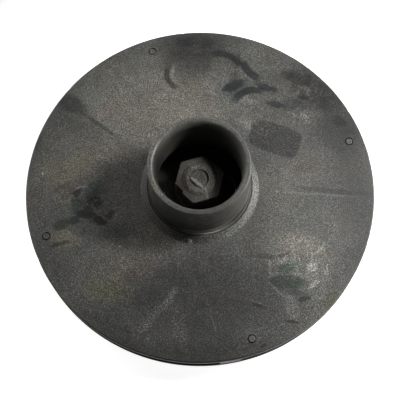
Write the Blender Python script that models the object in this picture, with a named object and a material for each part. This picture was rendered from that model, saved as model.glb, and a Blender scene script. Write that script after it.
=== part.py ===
"""Closed pump impeller, moulded in plastic: a coned front shroud with a suction neck, a flat back shroud,
four backward-curved vanes between them, and a hub with a hexagon that shows in the eye.

Metres, +Z up towards the eye. The origin is the centre of the hub's rear face, on the shaft's axis.
"""

from math import cos, pi, radians, sin, tan

import bmesh
import bpy
import numpy as np
from mathutils import Matrix

MM = 0.001
GAP = 0.3 * MM  # left between pieces that touch in the real impeller

# Shrouds
OUTER_RADIUS = 75.0 * MM
REAR_HUB_LENGTH = 6.0 * MM
BACK_THICKNESS = 2.4 * MM
OUTLET_WIDTH = 4.8 * MM
FRONT_THICKNESS = 2.2 * MM
CONE_SLOPE = 0.035  # rise of the front shroud for each metre inwards
RIM_CHAMFER = 0.6 * MM

BACK_BOTTOM = REAR_HUB_LENGTH
BACK_TOP = BACK_BOTTOM + BACK_THICKNESS
RIM_TOP = BACK_TOP + OUTLET_WIDTH + FRONT_THICKNESS

# Suction neck: heights count from the rim's top, and its bore widens towards the vanes
NECK_OUTER_RADIUS = 21.1 * MM
NECK_BORE_RADIUS = 17.9 * MM
NECK_MOUTH_RADIUS = 19.9 * MM
NECK_WIDENING = RIM_TOP + 8.2 * MM
NECK_TOP = RIM_TOP + 29.2 * MM
LIP_FLAT_OUTER = 20.7 * MM
LIP_FLAT_INNER = 19.7 * MM
LIP_CHAMFER = 0.5 * MM
LIP_DEPTH = 4.4 * MM
FOOT_RADIUS = 22.2 * MM
FOOT_TOP = RIM_TOP + 4.6 * MM
FOOT_CHAMFER = (0.3 * MM, 0.5 * MM)  # inwards, and down
STEP_TOP = RIM_TOP + 7.6 * MM
STEP_RISE = 0.7 * MM  # slope from the foot's top up to the step
STEP_LEDGE = 0.5 * MM  # how far the step stands out at its foot
STEP_CHAMFER = (0.25 * MM, 0.5 * MM)

# Raised collar of the front shroud, which the neck's foot sits in
COLLAR_OUTER_RADIUS = 25.3 * MM
COLLAR_CREST_RADIUS = 24.2 * MM
COLLAR_TOP = RIM_TOP + 3.6 * MM
COLLAR_BREAK = (0.3 * MM, 0.2 * MM)  # broken edge at the bore
CREST_HEIGHT = 0.6 * MM  # above the cone
CREST_BREAK = (0.3 * MM, 0.1 * MM)

# Vanes: logarithmic spirals, clockwise outwards as seen from the eye
VANE_COUNT = 4
VANE_ANGLE = radians(30.3)  # between the vane and the tangent
VANE_INLET_RADIUS = 24.6 * MM
VANE_NOSE_LENGTH = 1.6 * MM
VANE_THICKNESS_OUTER = 4.1 * MM
VANE_THICKNESS_INNER = 2.6 * MM
VANE_TIP_RADIUS = OUTER_RADIUS - 0.2 * MM
VANE_STATIONS = 26
NOSE_STATIONS = 5
NOSE_START = 0.12  # angle round the nose's quarter turn where its stations start

# Stake pins: one to a vane, melted flush with the front shroud
PIN_CIRCLE_RADIUS = 68.5 * MM
PIN_TURN = radians(16.5)
PIN_RADIUS = 1.3 * MM
PIN_CHAMFER = 0.15 * MM
PIN_CUTTER_DEPTH = 4 * FRONT_THICKNESS

# Hub
HEX_ACROSS_FLATS = 19.05 * MM
HEX_TURN = radians(14.3)
HEX_BOTTOM = RIM_TOP - 0.4 * MM
HEX_SHOULDER = RIM_TOP + 12.1 * MM
HEX_FACE = RIM_TOP + 12.9 * MM
HEX_SPARE = 1.0 * MM  # the prism and the shape that cuts it pass each other by this much
HEX_HEIGHT = HEX_FACE + HEX_SPARE - HEX_BOTTOM
HEX_FACE_RADIUS = 5.6 * MM
HEX_FACE_FOOT_RADIUS = 6.9 * MM
PLUG_RADIUS = 3.9 * MM
PLUG_DEPTH = 4.5 * MM
PLUG_CHAMFER = (0.3 * MM, 0.2 * MM)
PLUG_EDGE_RISE = 0.05 * MM  # above the hexagon's face
PLUG_CROWN_RISE = 0.15 * MM
SLEEVE_RADIUS = 10.2 * MM
SLEEVE_FLANGE_RADIUS = 15.6 * MM
SLEEVE_FLARE = 5.0 * MM
REAR_HUB_RADIUS = 13.0 * MM
REAR_HUB_CHAMFER = 0.6 * MM
INSERT_OUTER_RADIUS = 7.4 * MM
INSERT_BORE_RADIUS = 5.3 * MM
INSERT_BOTTOM = 0.4 * MM
INSERT_TOP = 20.0 * MM
INSERT_CHAMFER = 0.5 * MM

# Facets round a full turn
DISC_SEGMENTS = 96
NECK_SEGMENTS = 64
HUB_SEGMENTS = 48
PIN_SEGMENTS = 16
HEX_SIDES = 6
ARC_POINTS = 7
FLANK_POINTS = 5

SMOOTH_ANGLE = radians(32)


def clear_scene():
    """Empties the scene, so that the file holds the impeller alone."""
    for old in list(bpy.data.objects):
        bpy.data.objects.remove(old, do_unlink=True)


def make_material(name, colour, roughness, metallic=0.0):
    """Returns a Principled BSDF material."""
    material = bpy.data.materials.new(name)
    material.use_nodes = True
    shader = material.node_tree.nodes["Principled BSDF"]
    shader.inputs["Base Color"].default_value = (*colour, 1.0)
    shader.inputs["Roughness"].default_value = roughness
    shader.inputs["Metallic"].default_value = metallic
    material.diffuse_color = (*colour, 1.0)
    return material


def add_object(name, shape, material):
    """Turns a bmesh into a named object, shaded smooth except at its sharp edges."""
    bmesh.ops.remove_doubles(shape, verts=shape.verts, dist=0.001 * MM)
    bmesh.ops.recalc_face_normals(shape, faces=shape.faces)
    mesh = bpy.data.meshes.new(name)
    shape.to_mesh(mesh)
    shape.free()
    mesh.shade_smooth()
    mesh.set_sharp_from_angle(angle=SMOOTH_ANGLE)
    mesh.materials.append(material)
    piece = bpy.data.objects.new(name, mesh)
    bpy.context.scene.collection.objects.link(piece)
    return piece


def turn_profile(profile, segments, closed=True):
    """Spins (radius, height) points round the Z axis.

    A closed profile joins its last point to its first. An edge on the axis makes no face and is left out.
    """
    shape = bmesh.new()
    points = [shape.verts.new((radius, 0.0, height)) for radius, height in profile]
    pairs = list(zip(points, points[1:]))
    if closed:
        pairs.append((points[-1], points[0]))
    edges = [shape.edges.new(pair) for pair in pairs if max(point.co.x for point in pair) > 0.0]
    bmesh.ops.spin(
        shape,
        geom=points + edges,
        cent=(0, 0, 0),
        axis=(0, 0, 1),
        angle=2 * pi,
        steps=segments,
        use_merge=True,
    )
    return shape


def arc(centre, radii, start, end, count):
    """Points along an elliptical arc in the (radius, height) plane, ends included."""
    angles = np.radians(np.linspace(start, end, count))
    return [(centre[0] + radii[0] * cos(a), centre[1] + radii[1] * sin(a)) for a in angles]


def cone_height(radius):
    """Height of the front shroud's upper face at a radius."""
    return RIM_TOP + CONE_SLOPE * (OUTER_RADIUS - radius)


def underside_height(radius):
    """Height of the front shroud's lower face at a radius."""
    return cone_height(radius) - FRONT_THICKNESS


def pin_angles():
    """Angle of each stake pin round the axis."""
    return [PIN_TURN + 2 * pi * number / VANE_COUNT for number in range(VANE_COUNT)]


def cut(piece, cutter, operation="DIFFERENCE"):
    """Adds a Boolean to a piece, and keeps the cutter as a hidden guide."""
    cutter.hide_render = True
    cutter.display_type = "WIRE"
    boolean = piece.modifiers.new(cutter.name, "BOOLEAN")
    boolean.operation = operation
    boolean.solver = "EXACT"
    boolean.object = cutter


def add_front_shroud(material):
    """A coned disc with a raised collar round the neck and a hole for each stake pin."""
    collar_bore = FOOT_RADIUS + GAP
    crest = cone_height(COLLAR_CREST_RADIUS) + CREST_HEIGHT
    profile = [
        (OUTER_RADIUS, underside_height(OUTER_RADIUS)),
        (OUTER_RADIUS, RIM_TOP - RIM_CHAMFER),
        (OUTER_RADIUS - RIM_CHAMFER, cone_height(OUTER_RADIUS - RIM_CHAMFER)),
        (COLLAR_OUTER_RADIUS, cone_height(COLLAR_OUTER_RADIUS)),
        (COLLAR_CREST_RADIUS + CREST_BREAK[0], crest - CREST_BREAK[1]),
        (COLLAR_CREST_RADIUS, crest),
        (collar_bore + COLLAR_BREAK[0], COLLAR_TOP),
        (collar_bore, COLLAR_TOP - COLLAR_BREAK[1]),
        (collar_bore, underside_height(collar_bore)),
    ]
    shroud = add_object("front_shroud", turn_profile(profile, DISC_SEGMENTS), material)
    hole_radius = PIN_RADIUS + GAP
    holes = bmesh.new()
    for angle in pin_angles():
        made = bmesh.ops.create_cone(
            holes,
            cap_ends=True,
            segments=PIN_SEGMENTS,
            radius1=hole_radius,
            radius2=hole_radius,
            depth=PIN_CUTTER_DEPTH,
        )
        place = (PIN_CIRCLE_RADIUS * cos(angle), PIN_CIRCLE_RADIUS * sin(angle), RIM_TOP)
        bmesh.ops.translate(holes, verts=made["verts"], vec=place)
    cut(shroud, add_object("pin_hole_cutters", holes, material))


def add_eye_ring(material):
    """The suction neck: a bell-mouthed sleeve on a stepped foot, seated in the front shroud's collar.

    The lip's inside is a quarter of an ellipse, and the bore flares from the widening down to the mouth.
    """
    bottom = underside_height(FOOT_RADIUS)
    lip = arc(
        (LIP_FLAT_INNER, NECK_TOP - LIP_DEPTH),
        (LIP_FLAT_INNER - NECK_BORE_RADIUS, LIP_DEPTH),
        90,
        180,
        ARC_POINTS,
    )
    profile = [
        (FOOT_RADIUS, bottom),
        (FOOT_RADIUS, FOOT_TOP - FOOT_CHAMFER[1]),
        (FOOT_RADIUS - FOOT_CHAMFER[0], FOOT_TOP),
        (NECK_OUTER_RADIUS + STEP_LEDGE, FOOT_TOP + STEP_RISE),
        (NECK_OUTER_RADIUS + STEP_CHAMFER[0], STEP_TOP - STEP_CHAMFER[1]),
        (NECK_OUTER_RADIUS, STEP_TOP),
        (NECK_OUTER_RADIUS, NECK_TOP - LIP_CHAMFER),
        (LIP_FLAT_OUTER, NECK_TOP),
        *lip,
        (NECK_BORE_RADIUS, NECK_WIDENING),
        (NECK_MOUTH_RADIUS, bottom),
    ]
    add_object("eye_ring", turn_profile(profile, NECK_SEGMENTS), material)


def add_back_shroud(material):
    """A flat disc with a round opening for the hub."""
    bore = SLEEVE_FLANGE_RADIUS + GAP
    profile = [
        (OUTER_RADIUS, BACK_BOTTOM + RIM_CHAMFER),
        (OUTER_RADIUS, BACK_TOP),
        (bore, BACK_TOP),
        (bore, BACK_BOTTOM),
        (OUTER_RADIUS - RIM_CHAMFER, BACK_BOTTOM),
    ]
    add_object("back_shroud", turn_profile(profile, DISC_SEGMENTS), material)


def vane_mesh(turn):
    """A vane as a strip of stations, each an arc at one radius between the vane's two sides.

    The centre line is a logarithmic spiral through the stake pin: its angle falls by
    ln(r / pin circle) / tan(vane angle). The half width as an angle is half the thickness
    over r times sin(vane angle), and it shrinks to a point along the rounded nose.
    """
    nose_end = VANE_INLET_RADIUS + VANE_NOSE_LENGTH
    nose_turns = np.linspace(NOSE_START, 0.5 * pi, NOSE_STATIONS)
    nose = nose_end - VANE_NOSE_LENGTH * np.cos(nose_turns)
    body = np.linspace(nose_end, VANE_TIP_RADIUS, VANE_STATIONS)[1:]
    radius = np.concatenate([nose, body])
    fill = np.concatenate([np.sin(nose_turns), np.ones(len(body))])
    share = (radius - VANE_INLET_RADIUS) / (VANE_TIP_RADIUS - VANE_INLET_RADIUS)
    thickness = VANE_THICKNESS_INNER + (VANE_THICKNESS_OUTER - VANE_THICKNESS_INNER) * share
    centre = turn - np.log(radius / PIN_CIRCLE_RADIUS) / tan(VANE_ANGLE)
    half = 0.5 * thickness * fill / (radius * sin(VANE_ANGLE))
    low = np.full_like(radius, BACK_TOP + GAP)
    high = underside_height(radius) - GAP

    shape = bmesh.new()
    rows = []
    edges = [
        (centre - half, low),
        (centre - half, high),
        (centre + half, high),
        (centre + half, low),
    ]
    for angle, height in edges:
        points = np.stack([radius * np.cos(angle), radius * np.sin(angle), height], axis=1)
        rows.append([shape.verts.new(point) for point in points.tolist()])
    for row, following in zip(rows, rows[1:] + rows[:1]):
        for near in range(len(radius) - 1):
            shape.faces.new((row[near], row[near + 1], following[near + 1], following[near]))
    shape.faces.new([row[0] for row in rows])
    shape.faces.new([row[-1] for row in reversed(rows)])
    return shape


def add_vanes(material):
    """Four equal vanes, each under its own stake pin."""
    for number, turn in enumerate(pin_angles(), start=1):
        add_object(f"vane_{number}", vane_mesh(turn), material)


def add_stake_pins(material):
    """Round pins that stand on the vanes and end flush with the front shroud's face."""
    bottom = underside_height(PIN_CIRCLE_RADIUS)
    top = cone_height(PIN_CIRCLE_RADIUS)
    profile = [
        (0.0, bottom),
        (PIN_RADIUS, bottom),
        (PIN_RADIUS, top - PIN_CHAMFER),
        (PIN_RADIUS - PIN_CHAMFER, top),
        (0.0, top),
    ]
    for number, angle in enumerate(pin_angles(), start=1):
        pin = turn_profile(profile, PIN_SEGMENTS, closed=False)
        place = (PIN_CIRCLE_RADIUS * cos(angle), PIN_CIRCLE_RADIUS * sin(angle), 0.0)
        bmesh.ops.translate(pin, verts=pin.verts, vec=place)
        add_object(f"stake_pin_{number}", pin, material)


def add_hub_sleeve(material):
    """The round hub: rear boss, flange in the back shroud and a flare up to the hexagon."""
    bore = INSERT_OUTER_RADIUS + GAP
    top = HEX_BOTTOM - GAP
    flare = arc(
        (SLEEVE_RADIUS + SLEEVE_FLARE, BACK_TOP + SLEEVE_FLARE),
        (SLEEVE_FLARE, SLEEVE_FLARE),
        270,
        180,
        ARC_POINTS,
    )
    profile = [
        (bore, 0.0),
        (REAR_HUB_RADIUS - REAR_HUB_CHAMFER, 0.0),
        (REAR_HUB_RADIUS, REAR_HUB_CHAMFER),
        (REAR_HUB_RADIUS, BACK_BOTTOM),
        (SLEEVE_FLANGE_RADIUS, BACK_BOTTOM),
        (SLEEVE_FLANGE_RADIUS, BACK_TOP),
        *flare,
        (SLEEVE_RADIUS, top),
        (bore, top),
    ]
    add_object("hub_sleeve", turn_profile(profile, HUB_SEGMENTS), material)


def add_hex_boss(material):
    """The hexagon that shows in the eye, with a raised round face, and hollow below for the insert."""
    corner_radius = 0.5 * HEX_ACROSS_FLATS / cos(pi / HEX_SIDES)
    prism = bmesh.new()
    bmesh.ops.create_cone(
        prism,
        cap_ends=True,
        segments=HEX_SIDES,
        radius1=corner_radius,
        radius2=corner_radius,
        depth=HEX_HEIGHT,
    )
    bmesh.ops.translate(prism, verts=prism.verts, vec=(0, 0, HEX_BOTTOM + 0.5 * HEX_HEIGHT))
    # create_cone puts its first corner on +Y
    turn = Matrix.Rotation(HEX_TURN - 0.5 * pi, 3, "Z")
    bmesh.ops.rotate(prism, verts=prism.verts, cent=(0, 0, 0), matrix=turn)
    boss = add_object("hex_boss", prism, material)

    plug_hole = PLUG_RADIUS + GAP
    insert_hole = INSERT_OUTER_RADIUS + GAP
    outside = corner_radius + HEX_SPARE
    below = HEX_BOTTOM - HEX_SPARE
    flank_rise = HEX_FACE - HEX_SHOULDER
    flank = arc(
        (HEX_FACE_RADIUS, HEX_SHOULDER),
        (HEX_FACE_FOOT_RADIUS - HEX_FACE_RADIUS, flank_rise),
        0,
        90,
        FLANK_POINTS,
    )
    envelope_profile = [
        (insert_hole, below),
        (outside, below),
        (outside, HEX_SHOULDER),
        *flank,
        (plug_hole, HEX_FACE),
        (plug_hole, HEX_FACE - PLUG_DEPTH),
        (0.0, HEX_FACE - PLUG_DEPTH),
        (0.0, INSERT_TOP + GAP),
        (insert_hole, INSERT_TOP + GAP),
    ]
    envelope = turn_profile(envelope_profile, HUB_SEGMENTS)
    cut(boss, add_object("hex_boss_envelope", envelope, material), "INTERSECT")


def add_centre_plug(material):
    """The round plug in the middle of the hexagon's face."""
    bottom = HEX_FACE - PLUG_DEPTH + GAP
    profile = [
        (0.0, bottom),
        (PLUG_RADIUS, bottom),
        (PLUG_RADIUS, HEX_FACE - PLUG_CHAMFER[1]),
        (PLUG_RADIUS - PLUG_CHAMFER[0], HEX_FACE + PLUG_EDGE_RISE),
        (0.0, HEX_FACE + PLUG_CROWN_RISE),
    ]
    add_object("centre_plug", turn_profile(profile, HUB_SEGMENTS // 2, closed=False), material)


def add_shaft_insert(material):
    """The metal sleeve that screws onto the shaft, open at the rear."""
    profile = [
        (INSERT_BORE_RADIUS + INSERT_CHAMFER, INSERT_BOTTOM),
        (INSERT_OUTER_RADIUS, INSERT_BOTTOM),
        (INSERT_OUTER_RADIUS, INSERT_TOP),
        (INSERT_BORE_RADIUS, INSERT_TOP),
        (INSERT_BORE_RADIUS, INSERT_BOTTOM + INSERT_CHAMFER),
    ]
    add_object("shaft_insert", turn_profile(profile, HUB_SEGMENTS), material)


def build_impeller():
    """Builds every piece of the impeller."""
    clear_scene()
    add_front_shroud(make_material("front_shroud_plastic", (0.068, 0.066, 0.060), 0.62))
    add_eye_ring(make_material("eye_ring_plastic", (0.072, 0.072, 0.064), 0.52))
    add_back_shroud(make_material("back_shroud_plastic", (0.064, 0.062, 0.057), 0.64))
    add_vanes(make_material("vane_plastic", (0.060, 0.059, 0.054), 0.62))
    add_stake_pins(make_material("stake_pin_plastic", (0.066, 0.064, 0.058), 0.60))
    add_hub_sleeve(make_material("hub_sleeve_plastic", (0.060, 0.059, 0.054), 0.62))
    add_hex_boss(make_material("hex_boss_plastic", (0.085, 0.083, 0.074), 0.60))
    add_centre_plug(make_material("centre_plug_plastic", (0.088, 0.086, 0.078), 0.58))
    add_shaft_insert(make_material("shaft_insert_brass", (0.52, 0.38, 0.16), 0.36, 1.0))


build_impeller()
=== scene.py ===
"""Looks of a closed pump impeller, moulded in dark plastic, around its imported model.

Metres, +Z up towards the eye, and the origin is the centre of the hub's rear face. Each new piece is one
closed lattice of points worked out with numpy: a profile turned round the axis, a vane's section carried
along its spiral, or a hexagon's outline over a profile. Every finish is procedural and reads object
coordinates, so a mark lies where it is on the piece from any side.
"""

import logging
from abc import ABC, abstractmethod
from dataclasses import dataclass
from enum import Enum
from math import ceil, cos, pi, radians, sin, tan

import bpy
import numpy as np
from mathutils import Matrix, Vector


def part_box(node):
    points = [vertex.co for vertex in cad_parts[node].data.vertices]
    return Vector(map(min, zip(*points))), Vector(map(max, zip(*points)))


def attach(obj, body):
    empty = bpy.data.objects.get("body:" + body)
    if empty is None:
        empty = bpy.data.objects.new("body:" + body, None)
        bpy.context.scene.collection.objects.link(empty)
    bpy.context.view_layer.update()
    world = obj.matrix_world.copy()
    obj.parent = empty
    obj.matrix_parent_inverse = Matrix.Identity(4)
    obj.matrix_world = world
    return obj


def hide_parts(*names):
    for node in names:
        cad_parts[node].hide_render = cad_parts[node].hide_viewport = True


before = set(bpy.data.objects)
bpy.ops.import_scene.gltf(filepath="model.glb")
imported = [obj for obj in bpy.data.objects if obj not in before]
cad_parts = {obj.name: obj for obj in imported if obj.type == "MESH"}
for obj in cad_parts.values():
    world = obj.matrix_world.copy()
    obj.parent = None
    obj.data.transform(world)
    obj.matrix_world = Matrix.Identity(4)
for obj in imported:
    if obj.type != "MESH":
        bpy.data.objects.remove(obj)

MM = 0.001
BODY = "root"
LOG = logging.getLogger("impeller")

Colour = tuple[float, float, float]
Place = tuple[float, float]
Socket = bpy.types.NodeSocket


def step_up(values: np.ndarray, start: float, end: float) -> np.ndarray:
    """Smooth step from 0 at start to 1 at end: share squared times (3 less twice the share).

    Args:
        values: numbers to read.
        start: value that gives 0.
        end: value that gives 1.

    Returns:
        Numbers from 0 to 1, of the same shape.
    """
    share = np.clip((values - start) / (end - start), 0.0, 1.0)
    return share * share * (3.0 - 2.0 * share)


def bump(values: np.ndarray, width: float) -> np.ndarray:
    """Bell curve of height 1 at 0: e to the power of minus (value over width) squared."""
    return np.exp(-((values / width) ** 2))


def turned_apart(angles: np.ndarray, centre: float) -> np.ndarray:
    """Angles measured from a centre angle, from minus half a turn to half a turn."""
    return (angles - centre + pi) % (2 * pi) - pi


def pin_angles() -> list[float]:
    """Angle of each stake pin round the axis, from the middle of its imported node."""
    angles = []
    for number in range(1, 5):
        low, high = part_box(f"stake_pin_{number}")
        middle = 0.5 * (low + high)
        angles.append(float(np.arctan2(middle.y, middle.x)))
    return angles


@dataclass(frozen=True)
class Noise:
    """A smooth random field, the same at every run.

    Random numbers on a lattice of cubes are blended by the smooth step, and octaves of half the cell and
    half the height are added.
    """

    cell: float
    octaves: int = 3
    seed: int = 0

    def at(self, points: np.ndarray) -> np.ndarray:
        """Reads the field.

        Args:
            points: places, with x, y and z along the last axis.

        Returns:
            A number from -1 to 1 for each place.
        """
        total = np.zeros(points.shape[:-1])
        height = 1.0
        reach = 0.0
        for octave in range(self.octaves):
            total += height * self._layer(points * 2.0**octave / self.cell, self.seed + octave)
            reach += height
            height *= 0.5
        return total / reach

    def _layer(self, places: np.ndarray, seed: int) -> np.ndarray:
        """One octave: the eight corners of each place's cube, weighted by how near they are."""
        base = np.floor(places).astype(np.int64)
        share = places - base
        share = share * share * (3.0 - 2.0 * share)
        total = np.zeros(places.shape[:-1])
        for corner in np.ndindex(2, 2, 2):
            weight = np.prod(np.where(np.array(corner) == 1, share, 1.0 - share), axis=-1)
            total += weight * self._scatter(base + np.array(corner), seed)
        return total

    @staticmethod
    def _scatter(cells: np.ndarray, seed: int) -> np.ndarray:
        """Whole-number cells to numbers from -1 to 1: products with large odd numbers, mixed by shifts."""
        mixed = cells[..., 0] * 374761393 + cells[..., 1] * 668265263 + cells[..., 2] * 1274126177
        mixed = (mixed + seed * 974711) & 0xFFFFFFFF
        mixed = ((mixed ^ (mixed >> 13)) * 1103515245) & 0xFFFFFFFF
        return (mixed ^ (mixed >> 16)) / float(0x7FFFFFFF) - 1.0


@dataclass(frozen=True)
class Corner:
    """A corner of a turned profile, the radius that rounds it, and the longest step after it."""

    radius: float
    height: float
    fillet: float = 0.0
    spacing: float = 2.0 * MM


def rounded_profile(corners: list[Corner], closed: bool, arc_points: int = 6) -> np.ndarray:
    """Rounds the corners of a profile and divides its straight runs.

    A corner becomes an arc that touches both sides. From its start it goes on in the old direction by
    radius times the sine of the angle turned, and sideways by radius times (1 less its cosine).

    Args:
        corners: the profile's corners, in order.
        closed: whether the last corner joins the first.
        arc_points: points along each rounded corner.

    Returns:
        Radius and height of each point, one row each.
    """
    places = np.array([(corner.radius, corner.height) for corner in corners])
    ahead = np.roll(places, -1, axis=0) - places
    lengths = np.hypot(ahead[:, 0], ahead[:, 1])
    ahead = ahead / lengths[:, None]
    stretches = []
    for number, corner in enumerate(corners):
        before, after = ahead[number - 1], ahead[number]
        at_end = not closed and number in (0, len(corners) - 1)
        turn = np.arctan2(before[0] * after[1] - before[1] * after[0], before @ after)
        if corner.fillet == 0.0 or at_end or abs(turn) < radians(2):
            stretches.append(places[number][None, :])
            continue
        back = corner.fillet * tan(0.5 * abs(turn))
        side = np.sign(turn) * np.array([-before[1], before[0]])
        turned = np.linspace(0.0, abs(turn), arc_points)[:, None]
        start = places[number] - back * before
        stretches.append(start + corner.fillet * (np.sin(turned) * before + (1 - np.cos(turned)) * side))
    rows = []
    for number, stretch in enumerate(stretches):
        rows.append(stretch)
        if number == len(stretches) - 1 and not closed:
            break
        goal = stretches[(number + 1) % len(stretches)][0]
        run = goal - stretch[-1]
        steps = max(1, ceil(float(np.hypot(*run)) / corners[number].spacing))
        shares = np.linspace(0.0, 1.0, steps + 1)[1:-1, None]
        rows.append(stretch[-1] + shares * run)
    return np.concatenate(rows)


def turned(profile: np.ndarray, angles: np.ndarray) -> np.ndarray:
    """Carries a profile round the axis: x is radius times cosine, y is radius times sine.

    Args:
        profile: radius and height of each row.
        angles: angle of each column.

    Returns:
        Points in rows and columns.
    """
    radius = profile[:, :1]
    height = np.broadcast_to(profile[:, 1:], (len(profile), len(angles)))
    return np.stack([radius * np.cos(angles), radius * np.sin(angles), height], axis=-1)


def full_turn(count: int) -> np.ndarray:
    """Equal angles round a full turn."""
    return np.linspace(0.0, 2 * pi, count, endpoint=False)


@dataclass
class Lattice:
    """Points in rows and columns. The columns close round; the rows close too, or end in two poles."""

    points: np.ndarray
    rows_close: bool = True

    def faces(self) -> tuple[np.ndarray, np.ndarray]:
        """Squares between neighbouring rows and columns, and the triangles round each pole.

        Returns:
            Corner numbers of the squares and of the triangles, turned so that the faces point outwards.
        """
        rows, columns, _ = self.points.shape
        here = np.arange(rows * columns).reshape(rows, columns)
        beside = np.roll(here, -1, axis=1)
        squares = np.stack([here, beside, np.roll(beside, -1, axis=0), np.roll(here, -1, axis=0)], axis=-1)
        triangles = np.zeros((0, 3), int)
        if not self.rows_close:
            squares = squares[:-1]
            first = np.full(columns, rows * columns)
            ends = [
                np.stack([beside[0], here[0], first], axis=-1),
                np.stack([here[-1], beside[-1], first + 1], axis=-1),
            ]
            triangles = np.concatenate(ends)
        squares = squares.reshape(-1, 4)
        points = self.vertices()
        halves = np.concatenate([squares[:, [0, 1, 2]], squares[:, [0, 2, 3]], triangles])
        if np.linalg.det(points[halves]).sum() < 0.0:
            squares, triangles = squares[:, ::-1], triangles[:, ::-1]
        return squares, triangles

    def vertices(self) -> np.ndarray:
        """The points as a list, with a pole at the middle of each open end."""
        flat = self.points.reshape(-1, 3)
        if self.rows_close:
            return flat
        return np.concatenate([flat, self.points[0].mean(0)[None], self.points[-1].mean(0)[None]])

    def mesh(self, name: str, sharp: float) -> bpy.types.Mesh:
        """Puts the lattice into a mesh.

        Args:
            name: the mesh's name.
            sharp: angle between faces past which their edge is drawn sharp.

        Returns:
            A closed mesh with its faces pointing outwards.
        """
        squares, triangles = self.faces()
        points = self.vertices()
        loops = np.concatenate([squares.ravel(), triangles.ravel()])
        totals = np.concatenate([np.full(len(squares), 4), np.full(len(triangles), 3)])
        starts = np.concatenate([[0], np.cumsum(totals)[:-1]])
        mesh = bpy.data.meshes.new(name)
        mesh.vertices.add(len(points))
        mesh.vertices.foreach_set("co", points.astype(np.float32).ravel())
        mesh.loops.add(len(loops))
        mesh.loops.foreach_set("vertex_index", loops.astype(np.int32))
        mesh.polygons.add(len(totals))
        mesh.polygons.foreach_set("loop_start", starts.astype(np.int32))
        mesh.polygons.foreach_set("loop_total", totals.astype(np.int32))
        mesh.update(calc_edges=True)
        mesh.validate()
        mesh.shade_smooth()
        mesh.set_sharp_from_angle(angle=sharp)
        return mesh


class Outline(Enum):
    """Shape of a mark on a surface."""

    ELLIPSE = "ellipse"
    BOX = "box"
    ARC = "arc"


class Edge(Enum):
    """How the edge of a mark runs."""

    CRISP = "crisp"
    RAGGED = "ragged"
    DRIFTING = "drifting"


class Fill(Enum):
    """What the inside of a mark looks like."""

    EVEN = "even"
    SPECKLED = "speckled"
    WISPY = "wispy"
    THREADED = "threaded"


@dataclass(frozen=True)
class Mark:
    """A stain, smear, scuff or scratch, or a painted highlight or painted shade, in millimetres on the piece's own X
    and Y.

    The tone multiplies the brightness that is seen, so over 1 is a pale film and under 1 a dark one. An
    arc's half holds its radius and half its width, and span is half its length as an angle.
    """

    at: Place
    half: Place
    turn: float = 0.0
    tone: Colour = (0.7, 0.7, 0.7)
    strength: float = 1.0
    blur: float = 0.5
    outline: Outline = Outline.ELLIPSE
    edge: Edge = Edge.RAGGED
    fill: Fill = Fill.EVEN
    span: float = 0.0
    relief: float = 0.0
    gloss: float = 0.0

    def linear_tone(self) -> Colour:
        """The tone as a multiplier of linear colour, which is its power of 2.2."""
        return tuple(part**2.2 for part in self.tone)


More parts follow.
